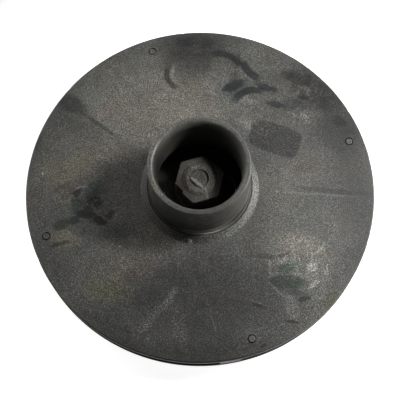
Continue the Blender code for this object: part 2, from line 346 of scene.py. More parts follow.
class Recipe:
    """Adds shader nodes to one material and links them, so that a finish reads as a recipe."""

    def __init__(self, name: str) -> None:
        """Starts an empty recipe with a Principled shader.

        Args:
            name: the material's name.
        """
        self.material = bpy.data.materials.new(name)
        self.material.use_nodes = True
        self.tree = self.material.node_tree
        self.shader = self.tree.nodes["Principled BSDF"]

    def feed(self, socket: Socket, value: object) -> None:
        """Links a socket to another one, or sets its own value."""
        if isinstance(value, bpy.types.NodeSocket):
            self.tree.links.new(value, socket)
        elif value is not None:
            socket.default_value = value

    def add(self, kind: str, settings: dict[str, object], **inputs: object) -> bpy.types.Node:
        """Adds a node.

        Args:
            kind: the node's type.
            settings: the node's own choices, by property name.
            **inputs: sockets or values, by input name with _ for a space.

        Returns:
            The node.
        """
        node = self.tree.nodes.new(kind)
        for key, value in settings.items():
            setattr(node, key, value)
        for key, value in inputs.items():
            self.feed(node.inputs[key.replace("_", " ")], value)
        return node

    def maths(self, operation: str, *values: object) -> Socket:
        """Sum, product or other maths on numbers.

        Args:
            operation: Blender's name for it.
            *values: sockets or numbers, in the node's order.

        Returns:
            The result's socket.
        """
        node = self.add("ShaderNodeMath", {"operation": operation})
        for socket, value in zip(node.inputs, values):
            self.feed(socket, value)
        return node.outputs[0]

    def vector_maths(self, operation: str, *values: object) -> bpy.types.Node:
        """Maths on vectors.

        Args:
            operation: Blender's name for it.
            *values: sockets or vectors, in the node's order.

        Returns:
            The node, whose outputs are a vector and a number.
        """
        node = self.add("ShaderNodeVectorMath", {"operation": operation})
        for socket, value in zip(node.inputs, values):
            self.feed(socket, value)
        return node

    def spread(self, value: Socket, start: float, end: float, low: float = 0.0, high: float = 1.0) -> Socket:
        """Smooth step of a number.

        Args:
            value: the number's socket.
            start: number that gives low.
            end: number that gives high.
            low: result at start.
            high: result at end.

        Returns:
            The result's socket.
        """
        node = self.add("ShaderNodeMapRange", {"interpolation_type": "SMOOTHSTEP"})
        for socket, given in zip(node.inputs, (value, start, end, low, high)):
            self.feed(socket, given)
        return node.outputs[0]

    def noise(self, places: Socket, scale: float, detail: float = 2.0, rough: float = 0.5) -> Socket:
        """Smooth noise from 0 to 1.

        Args:
            places: the coordinates, in millimetres.
            scale: lumps to a millimetre.
            detail: octaves.
            rough: height of each octave against the one before.

        Returns:
            The noise's socket.
        """
        node = self.add("ShaderNodeTexNoise", {}, Vector=places, Scale=scale, Detail=detail, Roughness=rough)
        return node.outputs[0]

    def stain(self, colour: Socket, factor: object, tone: Colour) -> Socket:
        """Multiplies a colour by a tone, as far as the factor says.

        Args:
            colour: the colour's socket.
            factor: socket or number from 0 to 1.
            tone: multiplier for red, green and blue.

        Returns:
            The stained colour's socket.
        """
        node = self.add("ShaderNodeMix", {"data_type": "RGBA", "blend_type": "MULTIPLY"})
        self.feed(node.inputs[0], factor)
        self.feed(node.inputs[6], colour)
        self.feed(node.inputs[7], (*tone, 1.0))
        return node.outputs[2]

    def millimetres(self) -> Socket:
        """Object coordinates in millimetres."""
        place = self.add("ShaderNodeTexCoord", {}).outputs["Object"]
        scaled = self.add("ShaderNodeMapping", {}, Vector=place, Scale=(1 / MM, 1 / MM, 1 / MM))
        return scaled.outputs[0]

    def shifted(self, places: Socket, scale: float, reach: float) -> Socket:
        """Coordinates pushed about by noise, which makes straight outlines ragged.

        Args:
            places: the coordinates, in millimetres.
            scale: lumps to a millimetre.
            reach: furthest push, in millimetres.

        Returns:
            The pushed coordinates' socket.
        """
        node = self.add("ShaderNodeTexNoise", {}, Vector=places, Scale=scale, Detail=3.0)
        centred = self.vector_maths("SUBTRACT", node.outputs["Color"], (0.5, 0.5, 0.5)).outputs[0]
        push = self.add("ShaderNodeVectorMath", {"operation": "SCALE"}, Vector=centred, Scale=2.0 * reach)
        pushed = self.vector_maths("ADD", places, push.outputs[0]).outputs[0]
        return self.add("ShaderNodeMapping", {}, Vector=pushed).outputs[0]


class MarkPainter:
    """Paints marks over a finish: each one's mask is its outline, blurred, times its fill."""

    def __init__(self, recipe: Recipe, places: Socket) -> None:
        """Makes the coordinates and fills that the marks share.

        Args:
            recipe: the finish being made.
            places: object coordinates in millimetres.
        """
        self.recipe = recipe
        self.places = {
            Edge.CRISP: recipe.shifted(places, 0.5, 0.35),
            Edge.RAGGED: recipe.shifted(places, 0.45, 1.5),
            Edge.DRIFTING: recipe.shifted(places, 0.11, 6.0),
        }
        wisps = recipe.noise(self.places[Edge.DRIFTING], 0.42, 5.0, 0.62)
        specks = recipe.noise(places, 1.7, 2.0, 0.7)
        coils = recipe.noise(self.places[Edge.DRIFTING], 0.24, 4.0, 0.6)
        from_middle = recipe.maths("ABSOLUTE", recipe.maths("SUBTRACT", coils, 0.5))
        spots = recipe.spread(specks, 0.25, 0.5)
        self.fills = {
            Fill.WISPY: recipe.spread(wisps, 0.40, 0.62),
            Fill.SPECKLED: recipe.spread(specks, 0.40, 0.60),
            Fill.THREADED: recipe.maths("MULTIPLY", recipe.spread(from_middle, 0.045, 0.0), spots),
        }

    def mask(self, mark: Mark) -> Socket:
        """The mask of a mark, from 0 to its strength.

        An ellipse is a ball gradient, 1 in the middle and 0 at its blurred edge. A box's share is 1 at its
        outline, and an arc's is the larger of its share across the ring and its share along it.

        Args:
            mark: the mark.

        Returns:
            The mask's socket.
        """
        recipe = self.recipe
        ellipse = mark.outline is Outline.ELLIPSE
        edge = 1.0 + mark.blur if ellipse else 1.0
        size = (mark.half[0], mark.half[0]) if mark.outline is Outline.ARC else mark.half
        local = recipe.add(
            "ShaderNodeMapping",
            {"vector_type": "TEXTURE"},
            Vector=self.places[mark.edge],
            Location=(*mark.at, 0.0),
            Rotation=(0.0, 0.0, radians(mark.turn)),
            Scale=(edge * size[0], edge * size[1], 1.0e6),
        ).outputs[0]
        if ellipse:
            ball = recipe.add("ShaderNodeTexGradient", {"gradient_type": "SPHERICAL"}, Vector=local)
            inside = recipe.spread(ball.outputs["Fac"], 0.0, 2.0 * mark.blur / edge, 0.0, mark.strength)
        else:
            reach = self._box(local) if mark.outline is Outline.BOX else self._arc(local, mark)
            inside = recipe.spread(reach, 1.0 + mark.blur, 1.0 - mark.blur, 0.0, mark.strength)
        if mark.fill in self.fills:
            inside = recipe.maths("MULTIPLY", inside, self.fills[mark.fill])
        return inside

    def _box(self, local: Socket) -> Socket:
        """Share of a box with rounded corners: the fourth root of x to the fourth plus y to the fourth."""
        recipe = self.recipe
        squares = recipe.vector_maths("MULTIPLY", local, local).outputs[0]
        return recipe.maths("SQRT", recipe.vector_maths("LENGTH", squares).outputs["Value"])

    def _arc(self, local: Socket, mark: Mark) -> Socket:
        """The larger of an arc's share along it and its share across it, 1 at its outline."""
        recipe = self.recipe
        split = recipe.add("ShaderNodeSeparateXYZ", {}, Vector=local)
        angle = recipe.maths("ABSOLUTE", recipe.maths("ARCTAN2", split.outputs[1], split.outputs[0]))
        along = recipe.maths("DIVIDE", angle, radians(mark.span))
        length = recipe.vector_maths("LENGTH", local).outputs["Value"]
        off_ring = recipe.maths("ABSOLUTE", recipe.maths("SUBTRACT", length, 1.0))
        return recipe.maths("MAXIMUM", along, recipe.maths("MULTIPLY", off_ring, mark.half[0] / mark.half[1]))


@dataclass(frozen=True)
class PlasticFinish:
    """Dark moulded plastic: mottled, speckled and grained, with its own marks.

    Attributes:
        name: the material's name.
        colour: base colour, linear.
        roughness: middle roughness.
        mottle: how far the shade wanders from place to place.
        speckle: contrast of the fine light and dark flecks.
        grain: height of the moulded grain, in millimetres.
        turned: height of the fine rings left by the mould's turning, in millimetres.
        marks: stains, scuffs, painted highlights and painted shade, first ones below.
    """

    name: str
    colour: Colour
    roughness: float = 0.55
    mottle: float = 0.25
    speckle: float = 0.3
    grain: float = 0.03
    turned: float = 0.0
    marks: tuple[Mark, ...] = ()

    def material(self) -> bpy.types.Material:
        """The finish as a node material, made once.

        Returns:
            The material.
        """
        made = bpy.data.materials.get(self.name)
        if made:
            return made
        recipe = Recipe(self.name)
        places = recipe.millimetres()
        wide = recipe.noise(recipe.shifted(places, 0.03, 14.0), 0.045, 3.0)
        mid = recipe.noise(recipe.shifted(places, 0.12, 5.0), 0.17, 4.0, 0.6)
        hue = recipe.noise(places, 0.075, 2.0)
        fleck = recipe.noise(places, 2.4, 1.0, 0.5)
        pore = recipe.noise(places, 2.8, 1.0, 0.5)

        light, dark = 1.0 + self.mottle, 1.0 - self.mottle
        colour = recipe.stain(self._plain(recipe), recipe.spread(wide, 0.32, 0.68), (light, light, light))
        colour = recipe.stain(colour, recipe.spread(mid, 0.58, 0.36), (dark, dark, dark * 0.99))
        colour = recipe.stain(colour, recipe.spread(hue, 0.50, 0.70), (1.05, 1.00, 0.93))
        colour = recipe.stain(colour, recipe.spread(hue, 0.48, 0.30), (0.96, 1.01, 0.99))
        pale, deep = 1.0 + 2.5 * self.speckle, 1.0 - self.speckle
        colour = recipe.stain(colour, recipe.spread(fleck, 0.50, 0.61), (pale, pale, pale))
        colour = recipe.stain(colour, recipe.spread(pore, 0.50, 0.38), (deep, deep, deep))

        rough = recipe.spread(mid, 0.3, 0.7, self.roughness - 0.05, self.roughness + 0.07)
        height = recipe.maths("MULTIPLY", recipe.noise(places, 2.3, 2.0, 0.6), self.grain)
        if self.turned:
            height = recipe.maths("ADD", height, self._rings(recipe, places))
        painter = MarkPainter(recipe, places) if self.marks else None
        for mark in self.marks:
            mask = painter.mask(mark)
            colour = recipe.stain(colour, mask, mark.linear_tone())
            if mark.gloss:
                rough = recipe.maths("MULTIPLY_ADD", mask, -mark.gloss, rough)
            if mark.relief:
                height = recipe.maths("MULTIPLY_ADD", mask, mark.relief, height)

        recipe.feed(recipe.shader.inputs["Base Color"], colour)
        recipe.feed(recipe.shader.inputs["Roughness"], rough)
        relief = recipe.add("ShaderNodeBump", {}, Strength=1.0, Distance=MM, Height=height)
        recipe.feed(recipe.shader.inputs["Normal"], relief.outputs[0])
        return recipe.material

    def _plain(self, recipe: Recipe) -> Socket:
        """The base colour as a socket that the stains start from."""
        node = recipe.add("ShaderNodeRGB", {})
        node.outputs[0].default_value = (*self.colour, 1.0)
        return node.outputs[0]

    def _rings(self, recipe: Recipe, places: Socket) -> Socket:
        """Fine rings round the axis: noise read over the distance from the axis and the height alone."""
        split = recipe.add("ShaderNodeSeparateXYZ", {}, Vector=places)
        flat = recipe.add("ShaderNodeCombineXYZ", {}, X=split.outputs[0], Y=split.outputs[1])
        away = recipe.vector_maths("LENGTH", flat.outputs[0]).outputs["Value"]
        line = recipe.add("ShaderNodeCombineXYZ", {}, X=away, Z=split.outputs[2])
        return recipe.maths("MULTIPLY", recipe.noise(line.outputs[0], 3.2, 2.0), self.turned)


@dataclass(frozen=True)
class BrassFinish:
    """Dull turned brass, with patches of brown tarnish.

    Attributes:
        name: the material's name.
        colour: clean brass, linear.
        roughness: roughness where it is clean.
    """

    name: str
    colour: Colour = (0.52, 0.38, 0.16)
    roughness: float = 0.36

    def material(self) -> bpy.types.Material:
        """The finish as a node material.

        Returns:
            The material.
        """
        recipe = Recipe(self.name)
        places = recipe.millimetres()
        wear = recipe.noise(recipe.shifted(places, 0.3, 2.0), 0.35, 4.0, 0.6)
        plain = recipe.add("ShaderNodeRGB", {})
        plain.outputs[0].default_value = (*self.colour, 1.0)
        colour = recipe.stain(plain.outputs[0], recipe.spread(wear, 0.42, 0.62), (0.52, 0.42, 0.36))
        split = recipe.add("ShaderNodeSeparateXYZ", {}, Vector=places)
        flat = recipe.add("ShaderNodeCombineXYZ", {}, X=split.outputs[0], Y=split.outputs[1])
        away = recipe.vector_maths("LENGTH", flat.outputs[0]).outputs["Value"]
        line = recipe.add("ShaderNodeCombineXYZ", {}, X=away, Z=split.outputs[2])
        rings = recipe.noise(line.outputs[0], 6.0, 2.0)
        recipe.feed(recipe.shader.inputs["Base Color"], colour)
        recipe.shader.inputs["Metallic"].default_value = 1.0
        rough = recipe.spread(wear, 0.35, 0.7, self.roughness, self.roughness + 0.25)
        recipe.feed(recipe.shader.inputs["Roughness"], rough)
        relief = recipe.add("ShaderNodeBump", {}, Strength=1.0, Distance=0.012 * MM, Height=rings)
        recipe.feed(recipe.shader.inputs["Normal"], relief.outputs[0])
        return recipe.material


@dataclass
class Piece(ABC):
    """One piece of the impeller: its name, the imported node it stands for, its slot and its finish."""

    name: str
    node: str
    slot: str
    finish: PlasticFinish | BrassFinish

    sharp = radians(50)

    @abstractmethod
    def lattice(self) -> Lattice:
        """The piece's surface, in place in the impeller's frame."""

    def build(self) -> bpy.types.Object:
        """Makes the piece, dresses it and puts it on its body.

        Returns:
            The new object.
        """
        mesh = self.lattice().mesh(self.name, self.sharp)
        mesh.materials.append(self.finish.material())
        piece = bpy.data.objects.new(self.name, mesh)
        bpy.context.scene.collection.objects.link(piece)
        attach(piece, BODY)
        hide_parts(self.node)
        LOG.info("%s: %d faces, stands for %s", self.name, len(mesh.polygons), self.node)
        return piece


@dataclass(frozen=True)
class Cone:
    """The front shroud's upper face: its height falls evenly from the middle to the rim."""

    outer: float
    rim_top: float
    slope: float = 0.035
    thickness: float = 2.2 * MM

    def top(self, radius: float | np.ndarray) -> float | np.ndarray:
        """Height of the upper face at a radius."""
        return self.rim_top + self.slope * (self.outer - radius)

    def underside(self, radius: float | np.ndarray) -> float | np.ndarray:
        """Height of the lower face at a radius."""
        return self.top(radius) - self.thickness


@dataclass(frozen=True)
class Nick:
    """A small dent in an edge: where it is round the axis, how wide and how deep."""

    angle: float
    width: float
    depth: float


@dataclass
class ConedFrontDisc(Piece):
    """The front shroud: a coned disc with a raised collar, a pocket round each pin and a nicked rim."""

    cone: Cone
    bore: float = 22.26 * MM
    collar_height: float = 3.6 * MM
    collar_reach: float = 25.3 * MM
    pin_circle: float = 68.5 * MM
    pocket_depth: float = 2.1 * MM
    pocket_wall: Place = (1.66 * MM, 1.82 * MM)
    pocket_reach: float = 3.4 * MM
    ring_spacing: float = 0.62 * MM
    columns: int = 600
    chamfer: float = 0.6 * MM
    warp: float = 0.09 * MM
    grit: float = 0.012 * MM
    nub: Place = (-4.8 * MM, -24.3 * MM)
    nicks: tuple[Nick, ...] = (
        Nick(radians(-19.8), 0.7 * MM, 0.35 * MM),
        Nick(radians(-50.9), 0.5 * MM, 0.25 * MM),
        Nick(radians(-69.5), 0.6 * MM, 0.22 * MM),
        Nick(radians(94.2), 0.6 * MM, 0.25 * MM),
        Nick(radians(139.0), 0.5 * MM, 0.16 * MM),
        Nick(radians(203.0), 0.9 * MM, 0.20 * MM),
        Nick(radians(247.0), 0.6 * MM, 0.18 * MM),
        Nick(radians(27.0), 0.8 * MM, 0.18 * MM),
    )

    def lattice(self) -> Lattice:
        """Collar, top, rim, underside and bore as one closed loop, turned round the axis."""
        collar, top, rest = self._collar(), self._top(), self._rim_and_underside()
        angles = self._angles()
        points = turned(np.concatenate([collar, top, rest]), angles)
        first, last = len(collar), len(collar) + len(top)
        points[first:last] = self._pocketed(points[first:last])
        points[:last, :, 2] += self._waves(points[:last])
        points = self._nicked(points)
        return Lattice(points)

    def _knots(self) -> np.ndarray:
        """Offsets from a pin's centre where the lattice has a line, close together at the pocket's wall."""
        inner, outer = self.pocket_wall
        one_side = np.array([0.5 * MM, 1.0 * MM, 1.4 * MM, inner, outer, 2.05 * MM, 2.45 * MM, 2.9 * MM])
        return np.concatenate([-one_side[::-1], [0.0], one_side])

    def _collar(self) -> np.ndarray:
        """Profile of the collar, from the top of its bore out to the cone."""
        top = self.cone.rim_top + self.collar_height
        crest = self.cone.top(24.2 * MM) + 0.6 * MM
        return rounded_profile(
            [
                Corner(self.bore, top - 1.6 * MM, spacing=0.5 * MM),
                Corner(self.bore, top - 0.05 * MM, 0.15 * MM, 0.3 * MM),
                Corner(self.bore + 0.35 * MM, top, 0.2 * MM, 0.3 * MM),
                Corner(24.2 * MM, crest, 0.8 * MM, 0.3 * MM),
                Corner(self.collar_reach, self.cone.top(self.collar_reach), 1.2 * MM, 0.3 * MM),
                Corner(self.collar_reach + 0.8 * MM, self.cone.top(self.collar_reach + 0.8 * MM)),
            ],
            closed=False,
        )

    def _top(self) -> np.ndarray:
        """Profile of the coned face: even rings, with the pockets' own lines among them."""
        start = self.collar_reach + 1.3 * MM
        end = self.cone.outer - self.chamfer - 0.4 * MM
        near, far = self.pin_circle - self.pocket_reach, self.pin_circle + self.pocket_reach
        inner = np.linspace(start, near, ceil((near - start) / self.ring_spacing))
        outer = np.linspace(far, end, ceil((end - far) / self.ring_spacing) + 1)
        radius = np.concatenate([inner, self.pin_circle + self._knots(), outer])
        return np.stack([radius, self.cone.top(radius)], axis=1)

    def _rim_and_underside(self) -> np.ndarray:
        """Profile of the rim, the face over the channels and the bore below the collar."""
        outer, top = self.cone.outer, self.cone.rim_top
        return rounded_profile(
            [
                Corner(outer - self.chamfer, self.cone.top(outer - self.chamfer), 0.5 * MM),
                Corner(outer - self.chamfer + 0.01 * MM, top, 0.4 * MM, 0.2 * MM),
                Corner(outer, top - self.chamfer, 0.4 * MM, 0.4 * MM),
                Corner(outer, self.cone.underside(outer), 0.2 * MM, 0.3 * MM),
                Corner(outer - 1.0 * MM, self.cone.underside(outer - 1.0 * MM), 0.0, 5.0 * MM),
                Corner(self.bore, self.cone.underside(self.bore), 0.4 * MM, 0.8 * MM),
                Corner(self.bore, top + self.collar_height - 2.2 * MM),
            ],
            closed=False,
        )

    def _angles(self) -> np.ndarray:
        """Column angles: even ones, and the pockets' own lines near each pin."""
        even = full_turn(self.columns)
        reach = self.pocket_reach / self.pin_circle
        own = []
        for pin in pin_angles():
            even = even[np.abs(turned_apart(even, pin)) > reach - 0.2 * pi / self.columns]
            own.append(pin + self._knots() / self.pin_circle)
        return np.sort(np.concatenate([even, *own]) % (2 * pi))

    def _pocketed(self, points: np.ndarray) -> np.ndarray:
        """Sinks a round pocket at each pin.

        Near a pin the lattice's square rings become circles: a point's distance turns into the larger of
        its two offsets, fading back to its own distance at the pocket's reach.
        """
        inner, outer = self.pocket_wall
        radius = np.hypot(points[..., 0], points[..., 1])
        angle = np.arctan2(points[..., 1], points[..., 0])
        sunk = points.copy()
        for pin in pin_angles():
            across = radius - self.pin_circle
            along = turned_apart(angle, pin) * self.pin_circle
            square = np.maximum(np.abs(across), np.abs(along))
            straight = np.maximum(np.hypot(across, along), 1e-9)
            fade = 1.0 - step_up(square, 0.65 * self.pocket_reach, 0.95 * self.pocket_reach)
            away = np.where(square < self.pocket_reach, square * fade + straight * (1 - fade), straight)
            new_radius = self.pin_circle + across * away / straight
            new_angle = pin + along * away / straight / self.pin_circle
            near = (square < self.pocket_reach)[..., None]
            height = self.cone.top(new_radius) - self.pocket_depth * (1 - step_up(away, inner, outer))
            moved = np.stack([new_radius * np.cos(new_angle), new_radius * np.sin(new_angle), height], -1)
            sunk = np.where(near, moved, sunk)
        return sunk

    def _waves(self, points: np.ndarray) -> np.ndarray:
        """Height added to the upper side: slow sink and swell, grit, and the nub beside the collar."""
        radius = np.hypot(points[..., 0], points[..., 1])
        flat = points * np.array([1.0, 1.0, 0.0])
        slow = self.warp * Noise(26 * MM, 2, 3).at(flat) * step_up(radius, 26 * MM, 34 * MM)
        slow = slow * (1 - step_up(radius, 71 * MM, self.cone.outer))
        fine = self.grit * Noise(1.7 * MM, 2, 11).at(flat) * step_up(radius, 25 * MM, 28 * MM)
        away = np.hypot(points[..., 0] - self.nub[0], points[..., 1] - self.nub[1])
        return slow + fine + 0.35 * MM * bump(away, 0.8 * MM)

    def _nicked(self, points: np.ndarray) -> np.ndarray:
        """Presses each nick into the rim, and lets the rim's radius waver slightly inwards."""
        radius = np.hypot(points[..., 0], points[..., 1])
        angle = np.arctan2(points[..., 1], points[..., 0])
        near_rim = step_up(radius, self.cone.outer - 1.2 * MM, self.cone.outer - 0.3 * MM)
        high = step_up(points[..., 2], self.cone.rim_top - 1.6 * MM, self.cone.rim_top - 0.4 * MM)
        inwards = 0.05 * MM * (1 + Noise(5 * MM, 3, 21).at(points))
        for nick in self.nicks:
            along = turned_apart(angle, nick.angle) * self.cone.outer
            inwards = inwards + nick.depth * bump(along, nick.width) * high
        shrink = 1 - near_rim * inwards / np.maximum(radius, 1e-9)
        return points * np.stack([shrink, shrink, np.ones_like(shrink)], -1)


@dataclass
class SuctionNeck(Piece):
    """The eye ring: a sleeve with a bell-mouthed lip, whose bore widens below, on a ridged foot."""

    cone: Cone
    top: float = 44.6 * MM
    outer: float = 21.1 * MM
    bore: float = 17.9 * MM
    foot: float = 22.2 * MM
    lip_outer: float = 20.75 * MM
    lip_inner: float = 19.6 * MM
    lip_depth: float = 4.4 * MM
    foot_height: float = 4.6 * MM
    step_height: float = 7.6 * MM
    widening: float = 23.6 * MM
    mouth: float = 19.9 * MM
    columns: int = 360

    def lattice(self) -> Lattice:
        """The foot, wall, lip and bore as one closed loop, turned round the axis and slightly worn."""
        base, step = self.cone.rim_top + self.foot_height, self.cone.rim_top + self.step_height
        bottom = self.cone.underside(self.foot)
        outside = rounded_profile(
            [
                Corner(self.foot, bottom, 0.2 * MM, 2.0 * MM),
                Corner(self.foot, base - 0.35 * MM, 0.15 * MM, 0.3 * MM),
                Corner(self.foot - 0.25 * MM, base, 0.12 * MM, 0.2 * MM),
                Corner(self.foot - 0.55 * MM, base + 0.05 * MM, 0.1 * MM, 0.2 * MM),
                Corner(self.outer + 0.42 * MM, base + 0.8 * MM, 0.3 * MM, 0.3 * MM),
                Corner(self.outer + 0.34 * MM, step - 0.5 * MM, 0.2 * MM, 0.2 * MM),
                Corner(self.outer + 0.22 * MM, step - 0.05 * MM, 0.1 * MM, 0.1 * MM),
                Corner(self.outer, step + 0.1 * MM, 0.15 * MM, 1.2 * MM),
                Corner(self.outer, self.top - 0.45 * MM, 0.35 * MM, 0.2 * MM),
                Corner(self.lip_outer, self.top - 0.03 * MM, 0.3 * MM, 0.25 * MM),
                Corner(self.lip_inner, self.top),
            ],
            closed=False,
        )
        inside = rounded_profile(
            [
                Corner(self.bore, self.top - self.lip_depth, 0.0, 1.5 * MM),
                Corner(self.bore, self.widening, 0.4 * MM, 1.0 * MM),
                Corner(self.mouth, bottom, 0.5 * MM, 0.5 * MM),
                Corner(self.foot, bottom),
            ],
            closed=False,
        )[:-1]
        profile = np.concatenate([outside, self._bell_mouth()[1:-1], inside])
        points = turned(profile, full_turn(self.columns))
        return Lattice(self._worn(points))

    def _bell_mouth(self) -> np.ndarray:
        """The lip's inside, a quarter of an ellipse that ends in a fine bead at the bore."""
        turned_by = np.linspace(0.0, 0.5 * pi, 22)
        radius = self.lip_inner - (self.lip_inner - self.bore) * np.sin(turned_by)
        height = self.top - self.lip_depth * (1 - np.cos(turned_by))
        bead = 0.05 * MM * bump(turned_by - 0.36 * pi, 0.05)
        return np.stack([radius - bead, height], axis=1)

    def _worn(self, points: np.ndarray) -> np.ndarray:
        """Makes the lip's edges uneven and the wall very slightly out of round."""
        radius = np.hypot(points[..., 0], points[..., 1])
        near_lip = step_up(points[..., 2], self.top - 1.2 * MM, self.top - 0.2 * MM)
        ragged = Noise(1.6 * MM, 3, 5).at(points)
        points = points.copy()
        points[..., 2] -= 0.07 * MM * near_lip * (1 + ragged)
        change = 0.05 * MM * near_lip * ragged + 0.03 * MM * Noise(14 * MM, 2, 8).at(points)
        scale = 1 + (change - 0.03 * MM) / radius
        points[..., 0] *= scale
        points[..., 1] *= scale
        return points


@dataclass
class FlatBackDisc(Piece):
    """The back shroud: a flat disc, with a round opening for the hub."""

    outer: float = 75.0 * MM
    bore: float = 15.75 * MM
    chamfer: float = 0.6 * MM
    columns: int = 360
    warp: float = 0.05 * MM

    def lattice(self) -> Lattice:
        """Rim, channel side, bore and back as one closed loop, with a slight swell on the back."""
        low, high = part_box(self.node)
        profile = rounded_profile(
            [
                Corner(self.outer, low.z + self.chamfer, 0.4 * MM, 0.4 * MM),
                Corner(self.outer, high.z, 0.25 * MM, 2.4 * MM),
                Corner(self.bore, high.z, 0.15 * MM, 0.8 * MM),
                Corner(self.bore, low.z, 0.2 * MM, 0.9 * MM),
                Corner(self.outer - self.chamfer, low.z, 0.4 * MM, 0.3 * MM),
            ],
            closed=True,
        )
        points = turned(profile, full_turn(self.columns))
        radius = np.hypot(points[..., 0], points[..., 1])
        back = step_up(points[..., 2], low.z + 0.3 * MM, low.z + 0.05 * MM)
        inside = (1 - step_up(radius, 68 * MM, 74 * MM)) * step_up(radius, 17 * MM, 22 * MM)
        swell = 0.5 + 0.5 * Noise(30 * MM, 2, 31).at(points)
        points[..., 2] += self.warp * swell * back * inside
        return Lattice(points)


@dataclass
class CurvedVane(Piece):
    """A vane: a section with moulded fillets, carried along a logarithmic spiral under its pin."""

    cone: Cone
    pin: float
    angle: float = radians(30.3)
    inlet: float = 24.6 * MM
    tip: float = 74.8 * MM
    pin_circle: float = 68.5 * MM
    nose_length: float = 1.6 * MM
    thickness: Place = (2.6 * MM, 4.1 * MM)
    clearance: float = 0.04 * MM
    stations: int = 150

    def lattice(self) -> Lattice:
        """Stations from the rounded nose to the tip, each with the section's loop.

        The spiral's angle falls by ln(r over the pin circle) over the tangent of the vane's angle, and the
        half width as an angle is half the thickness over (r times the sine of the vane's angle).
        """
        radius = self._radii()
        share = (radius - self.inlet) / (self.tip - self.inlet)
        thick = self.thickness[0] + (self.thickness[1] - self.thickness[0]) * share
        nose = np.clip((radius - self.inlet) / self.nose_length, 0.0, 1.0)
        thick = thick * np.sqrt(np.maximum(1 - (1 - nose) ** 2, 1e-3))
        centre = self.pin - np.log(radius / self.pin_circle) / tan(self.angle)
        side, level, flare = self._section()
        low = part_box("back_shroud")[1].z + self.clearance
        high = self.cone.underside(radius) - self.clearance
        height = low + level[None, :] * (high - low)[:, None]
        half = (0.5 * thick[:, None] + flare[None, :]) / (radius[:, None] * sin(self.angle))
        turn = centre[:, None] + side[None, :] * half
        spread = np.broadcast_to(radius[:, None], turn.shape)
        points = np.stack([spread * np.cos(turn), spread * np.sin(turn), height], -1)
        points[..., 2] = np.clip(points[..., 2], low, None)
        return Lattice(points, rows_close=False)

    def _radii(self) -> np.ndarray:
        """Stations, close together round the nose."""
        turned_by = np.linspace(0.04, 0.5 * pi, 10)
        nose = self.inlet + self.nose_length * (1 - np.cos(turned_by))
        return np.concatenate([nose, np.linspace(nose[-1], self.tip, self.stations)[1:]])

    def _section(self) -> tuple[np.ndarray, np.ndarray, np.ndarray]:
        """The loop round a section.

        Returns:
            Side from -1 to 1, level from 0 to 1, and how far the fillet stands out, for each column.
        """
        rise = 0.5 - 0.5 * np.cos(np.linspace(0.0, pi, 13))
        fillet = 0.45 * MM * (bump(rise, 0.09) + 0.6 * bump(1 - rise, 0.07))
        across = np.linspace(-1.0, 1.0, 7)[1:-1]
        side = np.concatenate([np.full(13, -1.0), across, np.full(13, 1.0), -across])
        level = np.concatenate([rise, np.ones(5), rise[::-1], np.zeros(5)])
        flare = np.concatenate([fillet, np.full(5, fillet[-1]), fillet[::-1], np.full(5, fillet[0])])
        return side, level, flare


@dataclass
class MeltedPin(Piece):
    """A stake pin: a round stem whose head is melted flush with the front disc."""

    cone: Cone
    pin: float
    pin_circle: float = 68.5 * MM
    radius: float = 1.42 * MM
    depth: float = 2.05 * MM
    columns: int = 40

    def lattice(self) -> Lattice:
        """Stem and head from pole to pole; the head is slightly dished and uneven."""
        top = float(self.cone.top(self.pin_circle))
        profile = rounded_profile(
            [
                Corner(0.15 * MM, top - self.depth),
                Corner(self.radius - 0.1 * MM, top - self.depth, 0.1 * MM, 0.5 * MM),
                Corner(self.radius, top - 0.06 * MM, 0.16 * MM, 0.4 * MM),
                Corner(self.radius - 0.5 * MM, top - 0.02 * MM, 0.3 * MM, 0.2 * MM),
                Corner(0.1 * MM, top - 0.10 * MM, 0.0, 0.2 * MM),
            ],
            closed=False,
        )
        points = turned(profile, full_turn(self.columns))
        centre = np.array([self.pin_circle * cos(self.pin), self.pin_circle * sin(self.pin), 0.0])
        points = points + centre
        head = step_up(points[..., 2], top - 0.4 * MM, top - 0.1 * MM)
        points[..., 2] += 0.04 * MM * head * Noise(0.7 * MM, 2, 41).at(points)
        return Lattice(points, rows_close=False)


@dataclass
class HubBody(Piece):
    """The hub sleeve: rear boss, flange in the back disc, and a flare up to the hexagon."""

    bore: float = 7.55 * MM
    rear: float = 13.0 * MM
    flange: float = 15.6 * MM
    sleeve: float = 10.2 * MM
    flare: float = 5.0 * MM
    columns: int = 192

    def lattice(self) -> Lattice:
        """The hub's profile, turned round the axis."""
        low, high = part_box(self.node)
        back_low, back_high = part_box("back_shroud")
        profile = rounded_profile(
            [
                Corner(self.bore, low.z, 0.25 * MM, 0.8 * MM),
                Corner(self.rear, low.z, 0.6 * MM, 0.8 * MM),
                Corner(self.rear, back_low.z, 0.5 * MM, 0.5 * MM),
                Corner(self.flange, back_low.z, 0.15 * MM, 0.6 * MM),
                Corner(self.flange, back_high.z, 0.1 * MM, 0.2 * MM),
                Corner(self.sleeve, back_high.z, self.flare, 0.8 * MM),
                Corner(self.sleeve, high.z, 0.2 * MM, 0.6 * MM),
                Corner(self.bore, high.z, 0.1 * MM, 1.2 * MM),
            ],
            closed=True,
            arc_points=9,
        )
        return Lattice(turned(profile, full_turn(self.columns)))


